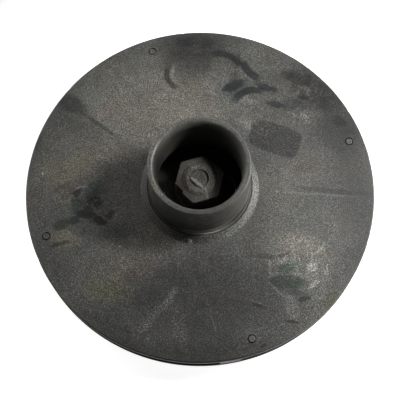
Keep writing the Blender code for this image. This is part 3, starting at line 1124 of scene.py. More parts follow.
@dataclass
class HexagonHead(Piece):
    """The hexagon in the eye: worn flats, a raised rough face, a plug hole and a hollow for the insert."""

    across_flats: float = 19.05 * MM
    turn: float = radians(14.3)
    shoulder: float = 27.5 * MM
    face_radius: float = 5.6 * MM
    face_foot: float = 6.9 * MM
    plug_hole: float = 4.02 * MM
    plug_depth: float = 4.5 * MM
    hollow: float = 7.55 * MM
    slit_turn: float = radians(226)
    chip_turn: float = radians(184.0)
    chip_depth: float = 0.25 * MM
    worn_flat: float = radians(222)
    wear: float = 0.80 * MM
    notch: float = radians(216)
    corner_cut: float = 0.25 * MM
    blunt: float = 0.06 * MM
    columns: int = 384

    def lattice(self) -> Lattice:
        """Rows from the hollow's ceiling, down and out, up the flats and over the face into the plug hole."""
        angles = full_turn(self.columns)
        rows, heights = self._rows(angles)
        points = np.stack([rows * np.cos(angles), rows * np.sin(angles), heights], -1)
        return Lattice(self._worn(points), rows_close=False)

    def _outline(self, angles: np.ndarray) -> np.ndarray:
        """Radius of the hexagon.

        It is the half width over flats divided by the cosine of the angle from the nearest flat's middle,
        limited at the corners. The worn half of the lower left flat is a line of its own, nearer the axis.
        """
        half = 0.5 * self.across_flats
        from_flat = (angles - self.turn) % radians(60) - radians(30)
        limit = half / cos(radians(30)) - self.corner_cut
        radius = -self.blunt * np.logaddexp(-half / np.cos(from_flat) / self.blunt, -limit / self.blunt)
        from_worn = np.clip(turned_apart(angles, self.worn_flat), -radians(60), radians(60))
        worn = (half - self.wear) / np.cos(from_worn)
        kept = step_up(angles, self.notch, self.notch + radians(3.0))
        chip = self.chip_depth * bump(turned_apart(angles, self.chip_turn), radians(2.2))
        return np.minimum(radius, worn * (1 - kept) + radius * kept) - chip

    def _hole(self, angles: np.ndarray) -> np.ndarray:
        """Radius of the plug's hole, flattened where the slit opens."""
        return self.plug_hole - 0.35 * MM * bump(turned_apart(angles, self.slit_turn), radians(34))

    def _rows(self, angles: np.ndarray) -> tuple[np.ndarray, np.ndarray]:
        """Radius and height of every point, before wear.

        Returns:
            Two arrays with a row for each step along the profile and a column for each angle.
        """
        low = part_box(self.node)[0].z
        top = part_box(self.node)[1].z
        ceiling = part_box("shaft_insert")[1].z + 0.3 * MM
        flats, hole = self._outline(angles), self._hole(angles)
        radii, heights = [], []

        def add(radius: np.ndarray | float, height: float) -> None:
            """Adds one row."""
            radii.append(np.broadcast_to(radius, angles.shape))
            heights.append(np.full(angles.shape, height))

        for share in (0.08, 0.4, 0.7, 1.0):
            add(self.hollow * share, ceiling)
        for share in np.linspace(0.0, 1.0, 5)[1:]:
            add(self.hollow, ceiling + share * (low - ceiling))
        for share in np.linspace(0.0, 1.0, 4)[1:]:
            add(self.hollow + share * (flats - 0.15 * MM - self.hollow), low)
        for share in np.linspace(0.0, 1.0, 16):
            add(flats, low + 0.15 * MM + share * (self.shoulder - low - 0.5 * MM))
        for turned_by in np.linspace(0.0, 0.5 * pi, 5)[1:]:
            add(flats - 0.3 * MM * (1 - cos(turned_by)), self.shoulder - 0.3 * MM * (1 - sin(turned_by)))
        for share in np.linspace(0.0, 1.0, 14)[1:]:
            add(flats - 0.3 * MM + share * (self.face_foot + 0.5 * MM - flats + 0.3 * MM), self.shoulder)
        rise = top - self.shoulder
        for share in np.linspace(0.0, 1.0, 13)[1:]:
            eased = float(step_up(np.array(share), -0.15, 1.0))
            add(self.face_foot + 0.5 * MM - share * (self.face_foot + 0.5 * MM - self.face_radius),
                self.shoulder + rise * 0.94 * eased)
        for share in np.linspace(0.0, 1.0, 8)[1:]:
            add(self.face_radius + share * (hole - self.face_radius), self.shoulder + rise * (0.94 + 0.04 * share))
        for share in np.linspace(0.0, 1.0, 9)[1:]:
            add(hole - 0.04 * MM, top - 0.1 * MM - share * (self.plug_depth - 0.1 * MM))
        for share in (0.6, 0.2):
            add(hole * share, top - self.plug_depth)
        return np.array(radii), np.array(heights)

    def _worn(self, points: np.ndarray) -> np.ndarray:
        """Roughens the raised face and lowers the outer shoulder unevenly."""
        radius = np.hypot(points[..., 0], points[..., 1])
        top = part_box(self.node)[1].z
        face = step_up(points[..., 2], self.shoulder + 0.1 * MM, top - 0.2 * MM)
        face = face * step_up(radius, 3.95 * MM, 4.2 * MM)
        rough = Noise(0.9 * MM, 3, 51).at(points)
        shoulder = step_up(points[..., 2], self.shoulder - 0.5 * MM, self.shoulder) * (1 - face)
        outside = step_up(radius, 6.6 * MM, 8.0 * MM) * shoulder
        points = points.copy()
        points[..., 2] += face * (0.26 * MM * rough - 0.16 * MM)
        points[..., 2] += outside * (0.10 * MM * Noise(2.5 * MM, 3, 55).at(points) - 0.10 * MM)
        points[..., 2] = np.minimum(points[..., 2], top)
        return points


@dataclass
class FacePlug(Piece):
    """The plug in the hexagon's face: flattened beside the slit, with a broken sliver that stands up."""

    radius: float = 3.99 * MM
    slit_turn: float = radians(226)
    slit_spread: float = radians(36)
    slit_inset: float = 0.85 * MM
    sliver_start: float = 1.3 * MM
    sliver_end: float = 2.7 * MM
    sliver_rise: float = 0.70 * MM
    sink: float = 0.50 * MM
    groove_turn: float = radians(0)
    groove_spread: float = radians(62)
    groove_depth: float = 0.55 * MM
    columns: int = 144

    def lattice(self) -> Lattice:
        """Side and face from pole to pole.

        The face's height is worked out from x and y: a sliver that stands up beside the slit, roughness,
        and a groove along the far side.
        """
        low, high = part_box(self.node)
        angles = full_turn(self.columns)
        edge = self.radius - self.slit_inset * bump(turned_apart(angles, self.slit_turn), self.slit_spread)
        shares = [0.05, 0.5, 0.97, *([1.0] * 10), 0.985, 0.96, *np.linspace(0.92, 0.04, 22)]
        side = high.z - 0.35 * MM
        heights = [low.z, low.z, low.z, *np.linspace(low.z + 0.1 * MM, side, 10), side + 0.1 * MM, side + 0.14 * MM]
        heights += [side + 0.15 * MM] * 22
        radius = np.array(shares)[:, None] * edge
        height = np.broadcast_to(np.array(heights)[:, None], radius.shape)
        points = np.stack([radius * np.cos(angles), radius * np.sin(angles), height], -1)
        points[..., 2] += self._relief(points) * step_up(points[..., 2], side, side + 0.1 * MM)
        return Lattice(points, rows_close=False)

    def _relief(self, points: np.ndarray) -> np.ndarray:
        """Height of the face above its edge at each point."""
        towards = points[..., 0] * cos(self.slit_turn) + points[..., 1] * sin(self.slit_turn)
        share = step_up(towards, self.sliver_start, self.sliver_end)
        away = np.hypot(points[..., 0], points[..., 1])
        angle = np.arctan2(points[..., 1], points[..., 0])
        groove = bump(away - 3.5 * MM, 0.42 * MM) * bump(turned_apart(angle, self.groove_turn), self.groove_spread)
        rough = 0.20 * MM * Noise(0.9 * MM, 3, 61).at(points)
        return self.sliver_rise * share - self.sink - self.groove_depth * groove + rough


@dataclass
class ThreadedInsert(Piece):
    """The metal insert: a sleeve with a helical thread in its bore."""

    outer: float = 7.4 * MM
    minor: float = 5.3 * MM
    depth: float = 0.62 * MM
    pitch: float = 1.5 * MM
    chamfer: float = 0.5 * MM
    columns: int = 120

    def lattice(self) -> Lattice:
        """Outside, ends and bore as one closed loop; the bore's radius follows the thread."""
        low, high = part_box(self.node)
        profile = rounded_profile(
            [
                Corner(self.minor, low.z + self.chamfer, 0.0, 0.2 * MM),
                Corner(self.minor + self.chamfer + self.depth, low.z, 0.1 * MM, 0.6 * MM),
                Corner(self.outer, low.z, 0.15 * MM, 1.5 * MM),
                Corner(self.outer, high.z, 0.15 * MM, 0.6 * MM),
                Corner(self.minor, high.z, 0.0, 0.125 * MM),
            ],
            closed=True,
        )
        points = turned(profile, full_turn(self.columns))
        return Lattice(self._threaded(points, low.z, high.z))

    def _threaded(self, points: np.ndarray, low: float, high: float) -> np.ndarray:
        """Cuts the thread.

        Turns passed are height over pitch less the angle over a full turn. The cut is deepest at each
        whole number of turns, flat at crest and root, and it fades out before the closed end.
        """
        radius = np.hypot(points[..., 0], points[..., 1])
        angle = np.arctan2(points[..., 1], points[..., 0])
        turns = points[..., 2] / self.pitch - angle / (2 * pi)
        flank = np.abs((turns % 1.0) * 2.0 - 1.0)
        cut = self.depth * step_up(flank, 0.12, 0.9)
        cut = cut * (1 - step_up(points[..., 2], high - 3.0 * MM, high - 1.5 * MM))
        in_bore = 1 - step_up(radius, self.minor + 0.02 * MM, self.minor + 0.3 * MM)
        scale = 1 + cut * in_bore / radius
        return points * np.stack([scale, scale, np.ones_like(scale)], -1)


def tone(shade: float, warm: float = 0.0, green: float = 0.0) -> Colour:
    """A tone by its shade, how warm it is, and how green.

    Args:
        shade: multiplier for all three.
        warm: adds to red and takes from blue.
        green: adds to green.

    Returns:
        Multipliers for red, green and blue.
    """
    return (shade * (1 + warm), shade * (1 + green), shade * (1 - warm))


SOFT, SPECKLED, WISPY, THREADED = Fill.EVEN, Fill.SPECKLED, Fill.WISPY, Fill.THREADED

SMEAR = tone(0.47, -0.08, 0.02)

FRONT_TINTS_AND_PAINTED_LIGHT = (
    # wide pale and dark areas
    Mark((-24, 37), (32, 21), 22, tone(1.29, 0.015), 1.0, 0.55, edge=Edge.DRIFTING),
    Mark((6, 32), (22, 9), 0, tone(1.10, 0.01), 0.9, 0.6),
    Mark((34, -3), (13, 12), 0, tone(1.15, 0.01), 1.0, 0.6, edge=Edge.DRIFTING),
    Mark((49, -25), (20, 13), -10, tone(1.08), 1.0, 0.55, edge=Edge.DRIFTING),
    Mark((-28, -12), (16, 20), 0, tone(1.14, 0.01), 1.0, 0.6),
    Mark((-2, -50), (42, 23), 0, tone(0.62), 1.0, 0.6, edge=Edge.DRIFTING),
    Mark((0, -48), (62, 26), 0, tone(1.42), 1.0, 0.5, edge=Edge.DRIFTING, fill=SPECKLED),
    Mark((-6, -50), (20, 24), 0, tone(0.90), 1.0, 0.6),
    Mark((-1, 65), (15, 11), 0, tone(0.66), 0.95, 0.6, edge=Edge.DRIFTING),
    Mark((59, 33), (11, 20), 28, tone(0.66), 0.95, 0.6, edge=Edge.DRIFTING),
    Mark((69, -8), (9, 34), 8, tone(0.74), 0.9, 0.7),
    Mark((62, -36), (10, 9), 30, tone(0.76), 0.9, 0.6, edge=Edge.DRIFTING),
    Mark((0, -72), (30, 6), 0, tone(0.72), 0.9, 0.7),
    Mark((-40, -62), (16, 7), -35, tone(0.74), 0.9, 0.7),
    Mark((-63, 36), (8, 17), -30, tone(0.82), 0.9, 0.7),
    Mark((-63, -35), (8, 14), 30, tone(0.86), 0.9, 0.7),
    # local tints
    Mark((-61, 10), (8, 6), 10, tone(1.10, 0.05, 0.03), 0.9, 0.6, edge=Edge.DRIFTING),
    Mark((-50, 14), (7, 4.5), 10, tone(1.08, 0.04, 0.02), 0.9, 0.6, edge=Edge.DRIFTING),
    Mark((-58, -1.5), (4.5, 3.5), 20, tone(1.06, 0.07), 0.8, 0.5),
    Mark((-58, -21), (5.5, 3.5), -15, tone(1.20, 0.06, 0.02), 0.95, 0.5),
    Mark((-41, 37), (4.5, 4.5), 0, tone(1.07, 0.0, -0.02), 0.8, 0.6),
    Mark((-48, 45), (7, 4), -35, tone(1.07, -0.02, 0.02), 0.8, 0.5),
    Mark((-40, -43), (9, 5), -10, tone(1.05, 0.04, 0.06), 0.9, 0.6),
    Mark((-30, -36), (10, 5), 10, tone(1.04, 0.05, -0.02), 0.8, 0.6),
    # the collar: a painted highlight to the right, and the neck's painted shadow to the left
    Mark((0, 0), (23.85, 1.3), -18, tone(1.30), 0.95, 0.4, Outline.ARC, Edge.CRISP, SPECKLED, 62),
    Mark((0, 0), (23.7, 1.9), 178, tone(0.70), 0.95, 0.5, Outline.ARC, Edge.RAGGED, SOFT, 72),
    # painted shade along the near left of the rim
    Mark((0, 0), (75.0, 0.6), -108, tone(0.32), 1.0, 0.4, Outline.ARC, Edge.CRISP, SOFT, 29),
)

FRONT_STAINS = (
    # upper right, mottled dark with pale curls
    Mark((51, 45), (14, 7.5), -42, tone(0.56), 0.95, 0.4, fill=WISPY),
    Mark((42.5, 51.5), (4.6, 2.6), -20, tone(0.66, 0.0, 0.02), 0.9, 0.4),
    Mark((51.5, 48), (5.5, 2.2), -45, tone(0.62), 0.95, 0.4, fill=SPECKLED),
    Mark((56, 38), (4.2, 3.2), -40, tone(0.60), 0.95, 0.4, fill=SPECKLED),
    Mark((62.5, 29), (3.2, 2.2), -30, tone(0.58), 0.95, 0.4),
    Mark((66.5, 24.5), (2.6, 2.0), 0, tone(0.66), 0.9, 0.4, fill=SPECKLED),
    Mark((41.5, 37.5), (4.5, 3.6), 0, tone(0.76, -0.01, 0.02), 0.9, 0.5),
    Mark((47.3, 40.8), (2.9, 0.9), -5, tone(0.50, -0.02, 0.03), 0.95, 0.3, edge=Edge.CRISP),
    Mark((49, 37), (10, 8), -30, tone(1.34), 0.95, 0.35, fill=THREADED),
    Mark((44.5, 29), (6, 4.5), 0, tone(1.30), 0.95, 0.4, fill=THREADED),
    Mark((50.3, 33), (4.2, 2.8), 20, tone(1.26), 0.9, 0.5, fill=WISPY),
    Mark((45, 45), (5.0, 2.4), -10, tone(1.22), 0.9, 0.5, fill=SPECKLED),
    Mark((59, 28), (3.6, 3.2), 0, tone(1.24), 0.9, 0.4, fill=THREADED),
    # granular patch with a rounded corner
    Mark((33.4, 21.3), (11.3, 6.9), -22, tone(0.80), 0.95, 0.07, Outline.BOX, Edge.CRISP),
    Mark((33.4, 21.3), (11.2, 6.8), -22, tone(0.62), 0.95, 0.10, Outline.BOX, Edge.CRISP, SPECKLED),
    Mark((26, 27), (8, 3.6), -20, tone(1.34), 0.95, 0.5, fill=WISPY),
    Mark((45.4, 19.5), (0.5, 5), -20, tone(1.22), 0.8, 0.5, edge=Edge.CRISP),
    # top edge
    Mark((-5, 70), (4, 2.6), -8, (0.62, 0.62, 0.70), 0.9, 0.5),
    Mark((-2, 66.5), (9, 5), 0, tone(0.74), 0.8, 0.5, fill=WISPY),
    Mark((-12, 61), (2, 4), 0, tone(0.76, 0.0, 0.05), 0.8, 0.5, fill=SPECKLED),
    # crescent smudge
    Mark((-5.6, 54), (7.6, 1.15), 200, tone(0.52), 0.9, 0.3, Outline.ARC, Edge.CRISP, SOFT, 46),
    Mark((-3.5, 54.5), (7.2, 0.8), 178, tone(1.25), 0.8, 0.5, Outline.ARC, Edge.CRISP, SOFT, 34),
    # left blotch
    Mark((-47, -7), (10, 9), 5, tone(0.76), 0.9, 0.5, fill=WISPY),
    Mark((-44.9, 0.8), (3.8, 3.0), 0, (0.68, 0.80, 0.80), 0.9, 0.4),
    Mark((-52.7, -5.2), (2.6, 2.9), 0, (0.60, 0.74, 0.62), 0.9, 0.4),
    Mark((-46.0, -5.6), (4.2, 3.4), 30, tone(0.36), 0.95, 0.3, fill=WISPY),
    Mark((-44.6, -5.2), (2.4, 2.6), 0, tone(0.46), 0.95, 0.3, fill=SPECKLED),
    Mark((-49, -10.4), (4.6, 2.0), -10, (0.42, 0.42, 0.52), 0.95, 0.3, edge=Edge.CRISP),
    Mark((-43, -13.6), (3.6, 1.7), -24, tone(0.40), 0.95, 0.3),
    Mark((-38.4, -11), (1.3, 2.6), -40, tone(0.50), 0.9, 0.4),
    Mark((-53.8, -12.7), (2.8, 1.8), 20, (0.52, 0.56, 0.54), 0.95, 0.3),
    Mark((-52.7, -0.8), (1.5, 1.9), 0, tone(0.42), 0.95, 0.3),
    Mark((-50.5, -2.6), (4.6, 0.4), 80, tone(1.36), 0.9, 0.5, Outline.ARC, Edge.CRISP, SOFT, 50),
    Mark((-39, -8), (6, 6), 30, tone(1.34), 0.95, 0.4, fill=THREADED),
    Mark((-59.4, -14.6), (3.6, 2.2), 25, (0.60, 0.68, 0.58), 0.95, 0.25, edge=Edge.CRISP),
    Mark((-58.5, 0.5), (4.5, 3.5), 0, tone(0.72, 0.03), 0.9, 0.4, fill=WISPY),
    Mark((-59.7, -23), (4.2, 0.8), 10, tone(0.58, 0.0, 0.02), 0.95, 0.4),
    Mark((-52, -18.5), (4, 2.0), 30, tone(0.76), 0.9, 0.4, fill=WISPY),
    # a darker strip below and to the right of the blotch
    Mark((-36, -19), (8, 3), 5, tone(0.84), 0.9, 0.5),
    # upper left wedge and its step
    Mark((-55.5, 41), (6.8, 3.8), -30, tone(0.64, 0.0, 0.02), 0.9, 0.3),
    Mark((-53, 33), (12, 6.5), -38, tone(0.82, 0.0, 0.01), 0.9, 0.55),
    Mark((-71, 25), (2.6, 5), 0, tone(0.74), 0.9, 0.5),
    Mark((-43, 30.4), (10, 0.8), -38, tone(0.68), 0.9, 0.5, edge=Edge.CRISP),
    # faint line to the right
    Mark((57, -3.4), (15, 1.1), -7, tone(0.80), 0.9, 0.4, Outline.BOX, Edge.CRISP),
    Mark((50, -4.6), (24, 0.5), -5, tone(1.16), 0.9, 0.5, edge=Edge.CRISP, relief=0.02),
    # lower right: a grey-green leaf among torn pale scuffs
    Mark((42, -33), (15, 11), -30, tone(1.14, 0.01), 0.9, 0.5),
    Mark((43, -34), (14, 11), -35, tone(1.22), 0.95, 0.4, fill=THREADED),
    Mark((41, -26.5), (8, 4), -10, tone(1.10, 0.02), 0.9, 0.5),
    Mark((35.5, -33), (5, 1.8), 10, tone(1.18), 0.9, 0.5),
    Mark((35.8, -36.4), (4.4, 2.3), 14, (0.76, 0.85, 0.81), 0.9, 0.35),
    Mark((35.2, -42.5), (7.8, 2.9), -5, (0.62, 0.71, 0.66), 0.95, 0.22, edge=Edge.CRISP),
    Mark((38.5, -47), (4.4, 1.6), -12, tone(0.76), 0.9, 0.4),
    Mark((29.4, -44.6), (4.2, 0.45), -46, tone(1.46), 0.95, 0.4, edge=Edge.CRISP),
    Mark((29.5, -39.6), (3.4, 0.4), 22, tone(1.30), 0.9, 0.4, edge=Edge.CRISP),
    Mark((28.3, -36.4), (0.9, 3.3), 0, tone(1.32), 0.9, 0.4),
    Mark((46.4, -43.6), (2.9, 1.2), 42, tone(1.42), 0.9, 0.4),
    Mark((46.2, -36.4), (2.3, 1.6), 20, tone(1.30), 0.9, 0.4),
    Mark((52.0, -35.8), (1.3, 4.4), -6, tone(1.36), 0.95, 0.4, fill=THREADED),
    Mark((50.3, -28.6), (2.6, 0.5), 52, tone(1.36), 0.9, 0.4, edge=Edge.CRISP),
    Mark((36.5, -53), (2.6, 7), 16, tone(1.24), 0.85, 0.5),
    Mark((33.4, -31.1), (4.6, 0.8), 8, tone(0.72, 0.02), 0.9, 0.5),
    Mark((25.2, -31.4), (5.0, 0.8), -4, tone(0.74, 0.02), 0.9, 0.5),
    Mark((41.8, -49.8), (2.9, 1.1), 12, tone(0.50, -0.01, 0.03), 0.95, 0.35, edge=Edge.CRISP),
    Mark((22.8, -52.2), (3.2, 0.7), -22, tone(0.56), 0.95, 0.4, edge=Edge.CRISP),
    Mark((22.0, -50.6), (2.4, 0.5), -22, tone(1.34), 0.9, 0.4, edge=Edge.CRISP),
    Mark((36.6, -59.2), (3.0, 0.7), -8, tone(0.52, 0.02), 0.95, 0.4, edge=Edge.CRISP),
    Mark((52.6, -50), (2.4, 4.6), -38, (0.84, 0.85, 0.68), 0.85, 0.5),
    # bottom fan
    Mark((-15.5, -58.5), (8.5, 9), 0, tone(1.12), 0.95, 0.6),
    Mark((-13.4, -48), (6.5, 1.7), 62, tone(1.26), 0.95, 0.5),
    Mark((-21.5, -55.5), (13.5, 1.9), 49, tone(1.24), 0.95, 0.5, fill=SPECKLED),
    Mark((-19.5, -54), (10, 1.3), 49, tone(1.10), 0.95, 0.6),
    Mark((-10.4, -58.5), (11, 2.5), -79, tone(1.26), 0.95, 0.5, fill=SPECKLED),
    Mark((-30, -68), (9, 2.5), -24, tone(0.85), 0.7, 0.5),
    Mark((16, -69.5), (12, 2.2), 14, tone(0.76), 0.85, 0.5, fill=WISPY),
    Mark((8, -66), (3, 3), 0, (0.86, 0.86, 0.93), 0.8, 0.6),
)

FRONT_SMEARS = (
    # rubbed dark smears and the film that was wiped beside them
    Mark((19, 51), (18, 15), 30, tone(1.16), 0.8, 0.4, fill=WISPY),
    Mark((22, 40.5), (5.5, 2.4), -15, tone(1.26), 0.9, 0.5, fill=WISPY),
    Mark((17, 46), (8, 5), 20, (0.84, 0.88, 0.91), 0.9, 0.5),
    Mark((10, 53), (10.5, 1.5), 62, SMEAR, 0.95, 0.25, Outline.ARC, Edge.CRISP, SOFT, 40),
    Mark((32, 61), (11, 1.7), 218, SMEAR, 0.95, 0.25, Outline.ARC, Edge.CRISP, SOFT, 30),
    Mark((25, 35.5), (9.5, 1.6), 108, SMEAR, 0.95, 0.25, Outline.ARC, Edge.CRISP, SOFT, 44),
    Mark((17.5, 57), (7, 2.1), 78, SMEAR, 0.9, 0.3, fill=WISPY),
    Mark((16, 47), (5, 2.3), 24, SMEAR, 0.9, 0.3),
    Mark((31, 46), (5.2, 1.5), -22, SMEAR, 0.9, 0.3),
    Mark((34.5, 37.5), (4.4, 1.5), -12, SMEAR, 0.85, 0.35),
    Mark((6, 69.5), (2.4, 3.4), 14, tone(0.66, -0.05), 0.8, 0.45, fill=SPECKLED),
)

FRONT_SPECKS = (
    Mark((3.6, -57), (0.22, 9), 13, tone(1.45), 0.9, 0.6, edge=Edge.CRISP, relief=-0.02),
    Mark((6.6, -60), (0.16, 5), 10, tone(1.3), 0.8, 0.6, edge=Edge.CRISP),
    Mark((-10.2, -36), (0.3, 8), -3, tone(1.25), 0.8, 0.6, edge=Edge.CRISP),
    Mark((-4.8, -24.3), (0.9, 1.1), 0, tone(1.7), 0.9, 0.4, edge=Edge.CRISP),
    Mark((-21.5, 24.5), (0.3, 0.7), 0, tone(1.7), 0.9, 0.4, edge=Edge.CRISP),
    Mark((-67.8, 8.8), (0.4, 0.6), 20, tone(1.9), 0.9, 0.4, edge=Edge.CRISP),
    Mark((-34.5, -25.2), (0.3, 0.3), 0, tone(2.2), 0.9, 0.4, edge=Edge.CRISP),
    Mark((-38.5, 63), (0.7, 0.5), 0, tone(0.45), 0.9, 0.4, edge=Edge.CRISP),
    Mark((70, -25.3), (0.7, 0.5), 0, tone(0.4), 0.9, 0.4, edge=Edge.CRISP),
    Mark((47.2, -58), (0.6, 0.5), 0, tone(0.4), 0.9, 0.4, edge=Edge.CRISP),
    Mark((55, -21.7), (0.35, 0.35), 0, tone(0.45), 0.9, 0.4, edge=Edge.CRISP),
    Mark((24, -68.7), (1.3, 0.7), 20, tone(0.45), 0.9, 0.4, edge=Edge.CRISP),
)

NECK_PAINTED_LIGHT = (
    # painted shade in the recess round the neck's foot, on the right
    Mark((0, 0), (22.0, 0.75), 8, tone(0.62), 0.95, 0.25, Outline.ARC, Edge.CRISP, SOFT, 72),
    # painted shadow round the foot, to the left and near left
    Mark((0, 0), (21.9, 0.85), 205, tone(0.55), 0.95, 0.25, Outline.ARC, Edge.CRISP, SOFT, 50),
    # painted highlights along the foot's step and top edge on the near side
    Mark((0, 0), (21.48, 0.30), -88, tone(1.9), 0.95, 0.4, Outline.ARC, Edge.CRISP, SOFT, 30),
    Mark((0, 0), (22.0, 0.30), -76, tone(1.5), 0.95, 0.4, Outline.ARC, Edge.CRISP, SOFT, 40),
    # painted highlights on the lip, strongest to the left
    Mark((0, 0), (20.3, 1.3), 170, tone(1.24), 0.95, 0.4, Outline.ARC, Edge.CRISP, SPECKLED, 62),
    Mark((0, 0), (19.3, 1.5), 0, tone(1.29), 0.95, 0.35, Outline.ARC, Edge.CRISP, SPECKLED, 200),
    # painted shade low in the bell mouth on the left
    Mark((0, 0), (18.0, 0.9), 188, tone(0.58), 0.95, 0.5, Outline.ARC, Edge.CRISP, SOFT, 38),
    # painted shade on the near side of the lip and outer wall
    Mark((0, 0), (20.0, 1.5), 268, tone(0.84), 0.9, 0.5, Outline.ARC, Edge.RAGGED, SOFT, 40),
)

HEXAGON_MARKS = (
    Mark((-7.5, -1.8), (3.4, 4.6), -20, tone(0.80, 0.02), 0.95, 0.5),
    Mark((0.3, 0.3), (6.5, 6.5), 0, tone(1.10, -0.01), 0.95, 0.15, edge=Edge.CRISP),
    Mark((1.0, 1.2), (7.4, 6.6), 20, tone(1.36), 0.9, 0.3, edge=Edge.CRISP, fill=SPECKLED),
    Mark((-3.6, 6.4), (4.6, 2.2), 20, tone(1.20, 0.0, 0.01), 0.9, 0.5, fill=SPECKLED),
    Mark((-10.6, -1.8), (0.9, 0.7), 0, tone(1.9), 0.9, 0.5, edge=Edge.CRISP),
    Mark((1.5, -8), (5, 2.5), 10, tone(1.13), 0.8, 0.5, fill=SPECKLED),
    Mark((2.6, -6.6), (0.55, 3.2), 12, tone(1.42), 0.9, 0.5, edge=Edge.CRISP, relief=0.12),
    Mark((6.0, -2.6), (0.5, 2.6), -28, tone(1.4), 0.9, 0.5, edge=Edge.CRISP, relief=0.10),
    # painted shadow over the right of the hexagon, cast by the neck's wall
    Mark((10.5, 0), (3.4, 9), 0, tone(0.66), 0.95, 0.6),
)

PLUG_MARKS = (
    Mark((-1.0, -1.6), (3.5, 0.72), -43, tone(1.42), 0.95, 0.25, edge=Edge.CRISP),
    Mark((0.8, 1.0), (2.6, 2.2), 0, tone(0.80), 0.9, 0.4, fill=SPECKLED),
    # painted shade in the groove along the right of the plug
    Mark((0, 0), (3.5, 0.34), 0, tone(0.66), 0.9, 0.5, Outline.ARC, Edge.CRISP, SOFT, 62),
)

BACK_MARKS = (
    # painted shade along the near left of the rim
    Mark((0, 0), (75.0, 0.6), -108, tone(0.30), 1.0, 0.4, Outline.ARC, Edge.CRISP, SOFT, 29),
    Mark((30, 35), (22, 9), 30, tone(1.2), 0.8, 0.6, fill=WISPY),
    Mark((-35, -20), (20, 12), -20, tone(0.8), 0.8, 0.6, fill=WISPY),
    Mark((0, 0), (47, 14), 70, tone(1.14), 0.7, 0.6, Outline.ARC, Edge.DRIFTING, WISPY, 110),
    Mark((-20, 48), (12, 0.3), 25, tone(1.3), 0.8, 0.6, edge=Edge.CRISP),
    Mark((38, -30), (9, 0.3), -50, tone(1.3), 0.8, 0.6, edge=Edge.CRISP),
)


@dataclass(frozen=True)
class PhotoCamera:
    """The photograph's camera, tilted from straight above towards the near side, and rolled slightly."""

    outer: float
    aim_height: float
    tilt: float = radians(18.03)
    roll: float = radians(-1.74)
    aim_shift: Place = (-0.0008, -0.0711)
    distance: float = 5.52
    focal_pixels: float = 966.5
    picture_pixels: float = 400.0
    sensor: float = 36.0

    def build(self) -> bpy.types.Object:
        """Makes the camera; shift and distance are in disc radii.

        Returns:
            The camera object.
        """
        across = Vector((1.0, 0.0, 0.0))
        up = Vector((0.0, cos(self.tilt), sin(self.tilt)))
        back = Vector((0.0, -sin(self.tilt), cos(self.tilt)))
        right = cos(self.roll) * across + sin(self.roll) * up
        top = -sin(self.roll) * across + cos(self.roll) * up
        aim = Vector((self.aim_shift[0] * self.outer, self.aim_shift[1] * self.outer, self.aim_height))
        data = bpy.data.cameras.new("photo_camera")
        data.sensor_width = self.sensor
        data.lens = self.focal_pixels * self.sensor / self.picture_pixels
        data.clip_start, data.clip_end = 0.01, 20.0
        camera = bpy.data.objects.new("photo_camera", data)
        turn = Matrix((right, top, back)).transposed().to_4x4()
        camera.matrix_world = Matrix.Translation(aim + self.distance * self.outer * back) @ turn
        bpy.context.scene.collection.objects.link(camera)
        bpy.context.scene.camera = camera
        return camera


@dataclass(frozen=True)
class SoftBox:
    """A square soft light, aimed at the impeller and left out of the camera's sight."""

    name: str
    azimuth: float
    elevation: float
    distance: float
    size: float
    watts: float
    colour: Colour = (1.0, 1.0, 1.0)
    aim_height: float = 20 * MM

    def build(self) -> bpy.types.Object:
        """Makes the light.

        Returns:
            The light object.
        """
        data = bpy.data.lights.new(self.name, "AREA")
        data.size = self.size
        data.energy = self.watts
        data.color = self.colour
        light = bpy.data.objects.new(self.name, data)
        flat = cos(self.elevation)
        away = Vector((cos(self.azimuth) * flat, sin(self.azimuth) * flat, sin(self.elevation)))
        light.location = away * self.distance + Vector((0.0, 0.0, self.aim_height))
        light.visible_camera = False
        light.rotation_mode = "QUATERNION"
        light.rotation_quaternion = away.to_track_quat("Z", "Y")
        bpy.context.scene.collection.objects.link(light)
        return light


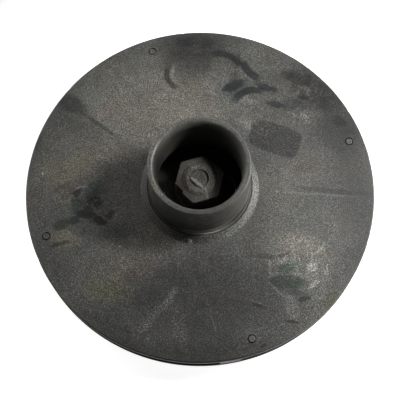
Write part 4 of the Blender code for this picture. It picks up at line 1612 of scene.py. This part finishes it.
@dataclass(frozen=True)
class Studio:
    """A pale floor that glows near the impeller, key lights from the right and soft ones from behind."""

    floor_half: float = 1.6
    floor_colour: Colour = (0.80, 0.80, 0.79)
    floor_glow: Place = (0.90, 0.06)
    glow_reach: Place = (0.111, 0.15)
    room_strength: float = 0.012
    lights: tuple[SoftBox, ...] = (
        SoftBox("key_high", radians(13), radians(48), 0.45, 0.08, 1.50),
        SoftBox("key_low", radians(0), radians(14), 0.25, 0.08, 0.42),
        SoftBox("right_low", radians(30), radians(20), 0.45, 0.12, 0.25),
        SoftBox("behind_left", radians(135), radians(25), 0.6, 0.4, 1.95),
        SoftBox("left_low", radians(180), radians(15), 0.6, 0.3, 0.20),
    )

    def build(self) -> None:
        """Makes the floor, the lights and the room."""
        self._floor()
        for light in self.lights:
            light.build()
        world = bpy.data.worlds.new("studio_room")
        world.use_nodes = True
        room = world.node_tree.nodes["Background"]
        room.inputs["Color"].default_value = (0.95, 0.97, 1.0, 1.0)
        room.inputs["Strength"].default_value = self.room_strength
        bpy.context.scene.world = world
        bpy.context.scene.view_settings.view_transform = "Standard"

    def _floor(self) -> None:
        """A flat sheet at the hub's rear face."""
        half = self.floor_half
        mesh = bpy.data.meshes.new("studio_floor")
        mesh.from_pydata([(-half, -half, 0), (half, -half, 0), (half, half, 0), (-half, half, 0)], [], [(0, 1, 2, 3)])
        recipe = Recipe("pale_floor")
        recipe.shader.inputs["Base Color"].default_value = (*self.floor_colour, 1.0)
        recipe.shader.inputs["Roughness"].default_value = 0.9
        recipe.shader.inputs["Specular IOR Level"].default_value = 0.0
        recipe.shader.inputs["Emission Color"].default_value = (1.0, 1.0, 1.0, 1.0)
        place = recipe.add("ShaderNodeTexCoord", {}).outputs["Object"]
        away = recipe.vector_maths("LENGTH", place).outputs["Value"]
        glow = recipe.spread(away, *self.glow_reach, *self.floor_glow)
        recipe.feed(recipe.shader.inputs["Emission Strength"], glow)
        mesh.materials.append(recipe.material)
        floor = bpy.data.objects.new("studio_floor", mesh)
        bpy.context.scene.collection.objects.link(floor)


@dataclass(frozen=True)
class Impeller:
    """The whole impeller: its finishes and its pieces, in the order they are built."""

    outer: float
    rim_top: float
    neck_top: float

    def pieces(self) -> list[Piece]:
        """Every piece with its finish.

        Returns:
            The pieces, none of them built yet.
        """
        cone = Cone(self.outer, self.rim_top)
        front = PlasticFinish(
            "front_disc_plastic", (0.062, 0.061, 0.055), 0.55, 0.16, 0.62, 0.05,
            marks=FRONT_TINTS_AND_PAINTED_LIGHT + FRONT_STAINS + FRONT_SMEARS + FRONT_SPECKS,
        )
        neck = PlasticFinish("neck_plastic", (0.071, 0.070, 0.063), 0.42, 0.10, 0.14, 0.008, 0.006, marks=NECK_PAINTED_LIGHT)
        back = PlasticFinish("back_disc_plastic", (0.068, 0.067, 0.061), 0.58, 0.16, 0.28, 0.03, marks=BACK_MARKS)
        vane = PlasticFinish("vane_plastic", (0.068, 0.067, 0.061), 0.55, 0.12, 0.25, 0.02)
        pin = PlasticFinish("pin_plastic", (0.071, 0.069, 0.063), 0.52, 0.10, 0.3, 0.03)
        hub = PlasticFinish("hub_plastic", (0.068, 0.067, 0.060), 0.55, 0.12, 0.25, 0.02, 0.006)
        hexagon = PlasticFinish("hexagon_plastic", (0.067, 0.063, 0.054), 0.55, 0.12, 0.30, 0.03, marks=HEXAGON_MARKS)
        plug = PlasticFinish("plug_plastic", (0.088, 0.086, 0.078), 0.5, 0.10, 0.35, 0.03, marks=PLUG_MARKS)
        made = [
            ConedFrontDisc("coned_front_disc", "front_shroud", "front_shroud", front, cone),
            SuctionNeck("suction_neck", "eye_ring", "eye_ring", neck, cone, self.neck_top),
            FlatBackDisc("flat_back_disc", "back_shroud", "back_shroud", back, self.outer),
        ]
        for number, angle in enumerate(pin_angles(), start=1):
            made.append(CurvedVane(f"curved_vane_{number}", f"vane_{number}", "vane", vane, cone, angle))
            made.append(MeltedPin(f"melted_pin_{number}", f"stake_pin_{number}", "stake_pin", pin, cone, angle))
        made += [
            HubBody("hub_body", "hub_sleeve", "hub_sleeve", hub),
            HexagonHead("hexagon_head", "hex_boss", "hex_boss", hexagon),
            FacePlug("face_plug", "centre_plug", "centre_plug", plug),
            ThreadedInsert("threaded_insert", "shaft_insert", "shaft_insert", BrassFinish("insert_brass")),
        ]
        return made


def main() -> None:
    """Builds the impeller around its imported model, then the studio and the camera."""
    logging.basicConfig(level=logging.INFO, format="%(message)s")
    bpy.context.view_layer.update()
    front_low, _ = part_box("front_shroud")
    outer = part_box("front_shroud")[1].x
    rim_top = front_low.z + Cone.thickness
    for piece in Impeller(outer, rim_top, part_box("eye_ring")[1].z).pieces():
        piece.build()
    Studio().build()
    PhotoCamera(outer, rim_top).build()


if __name__ == "__main__":
    main()
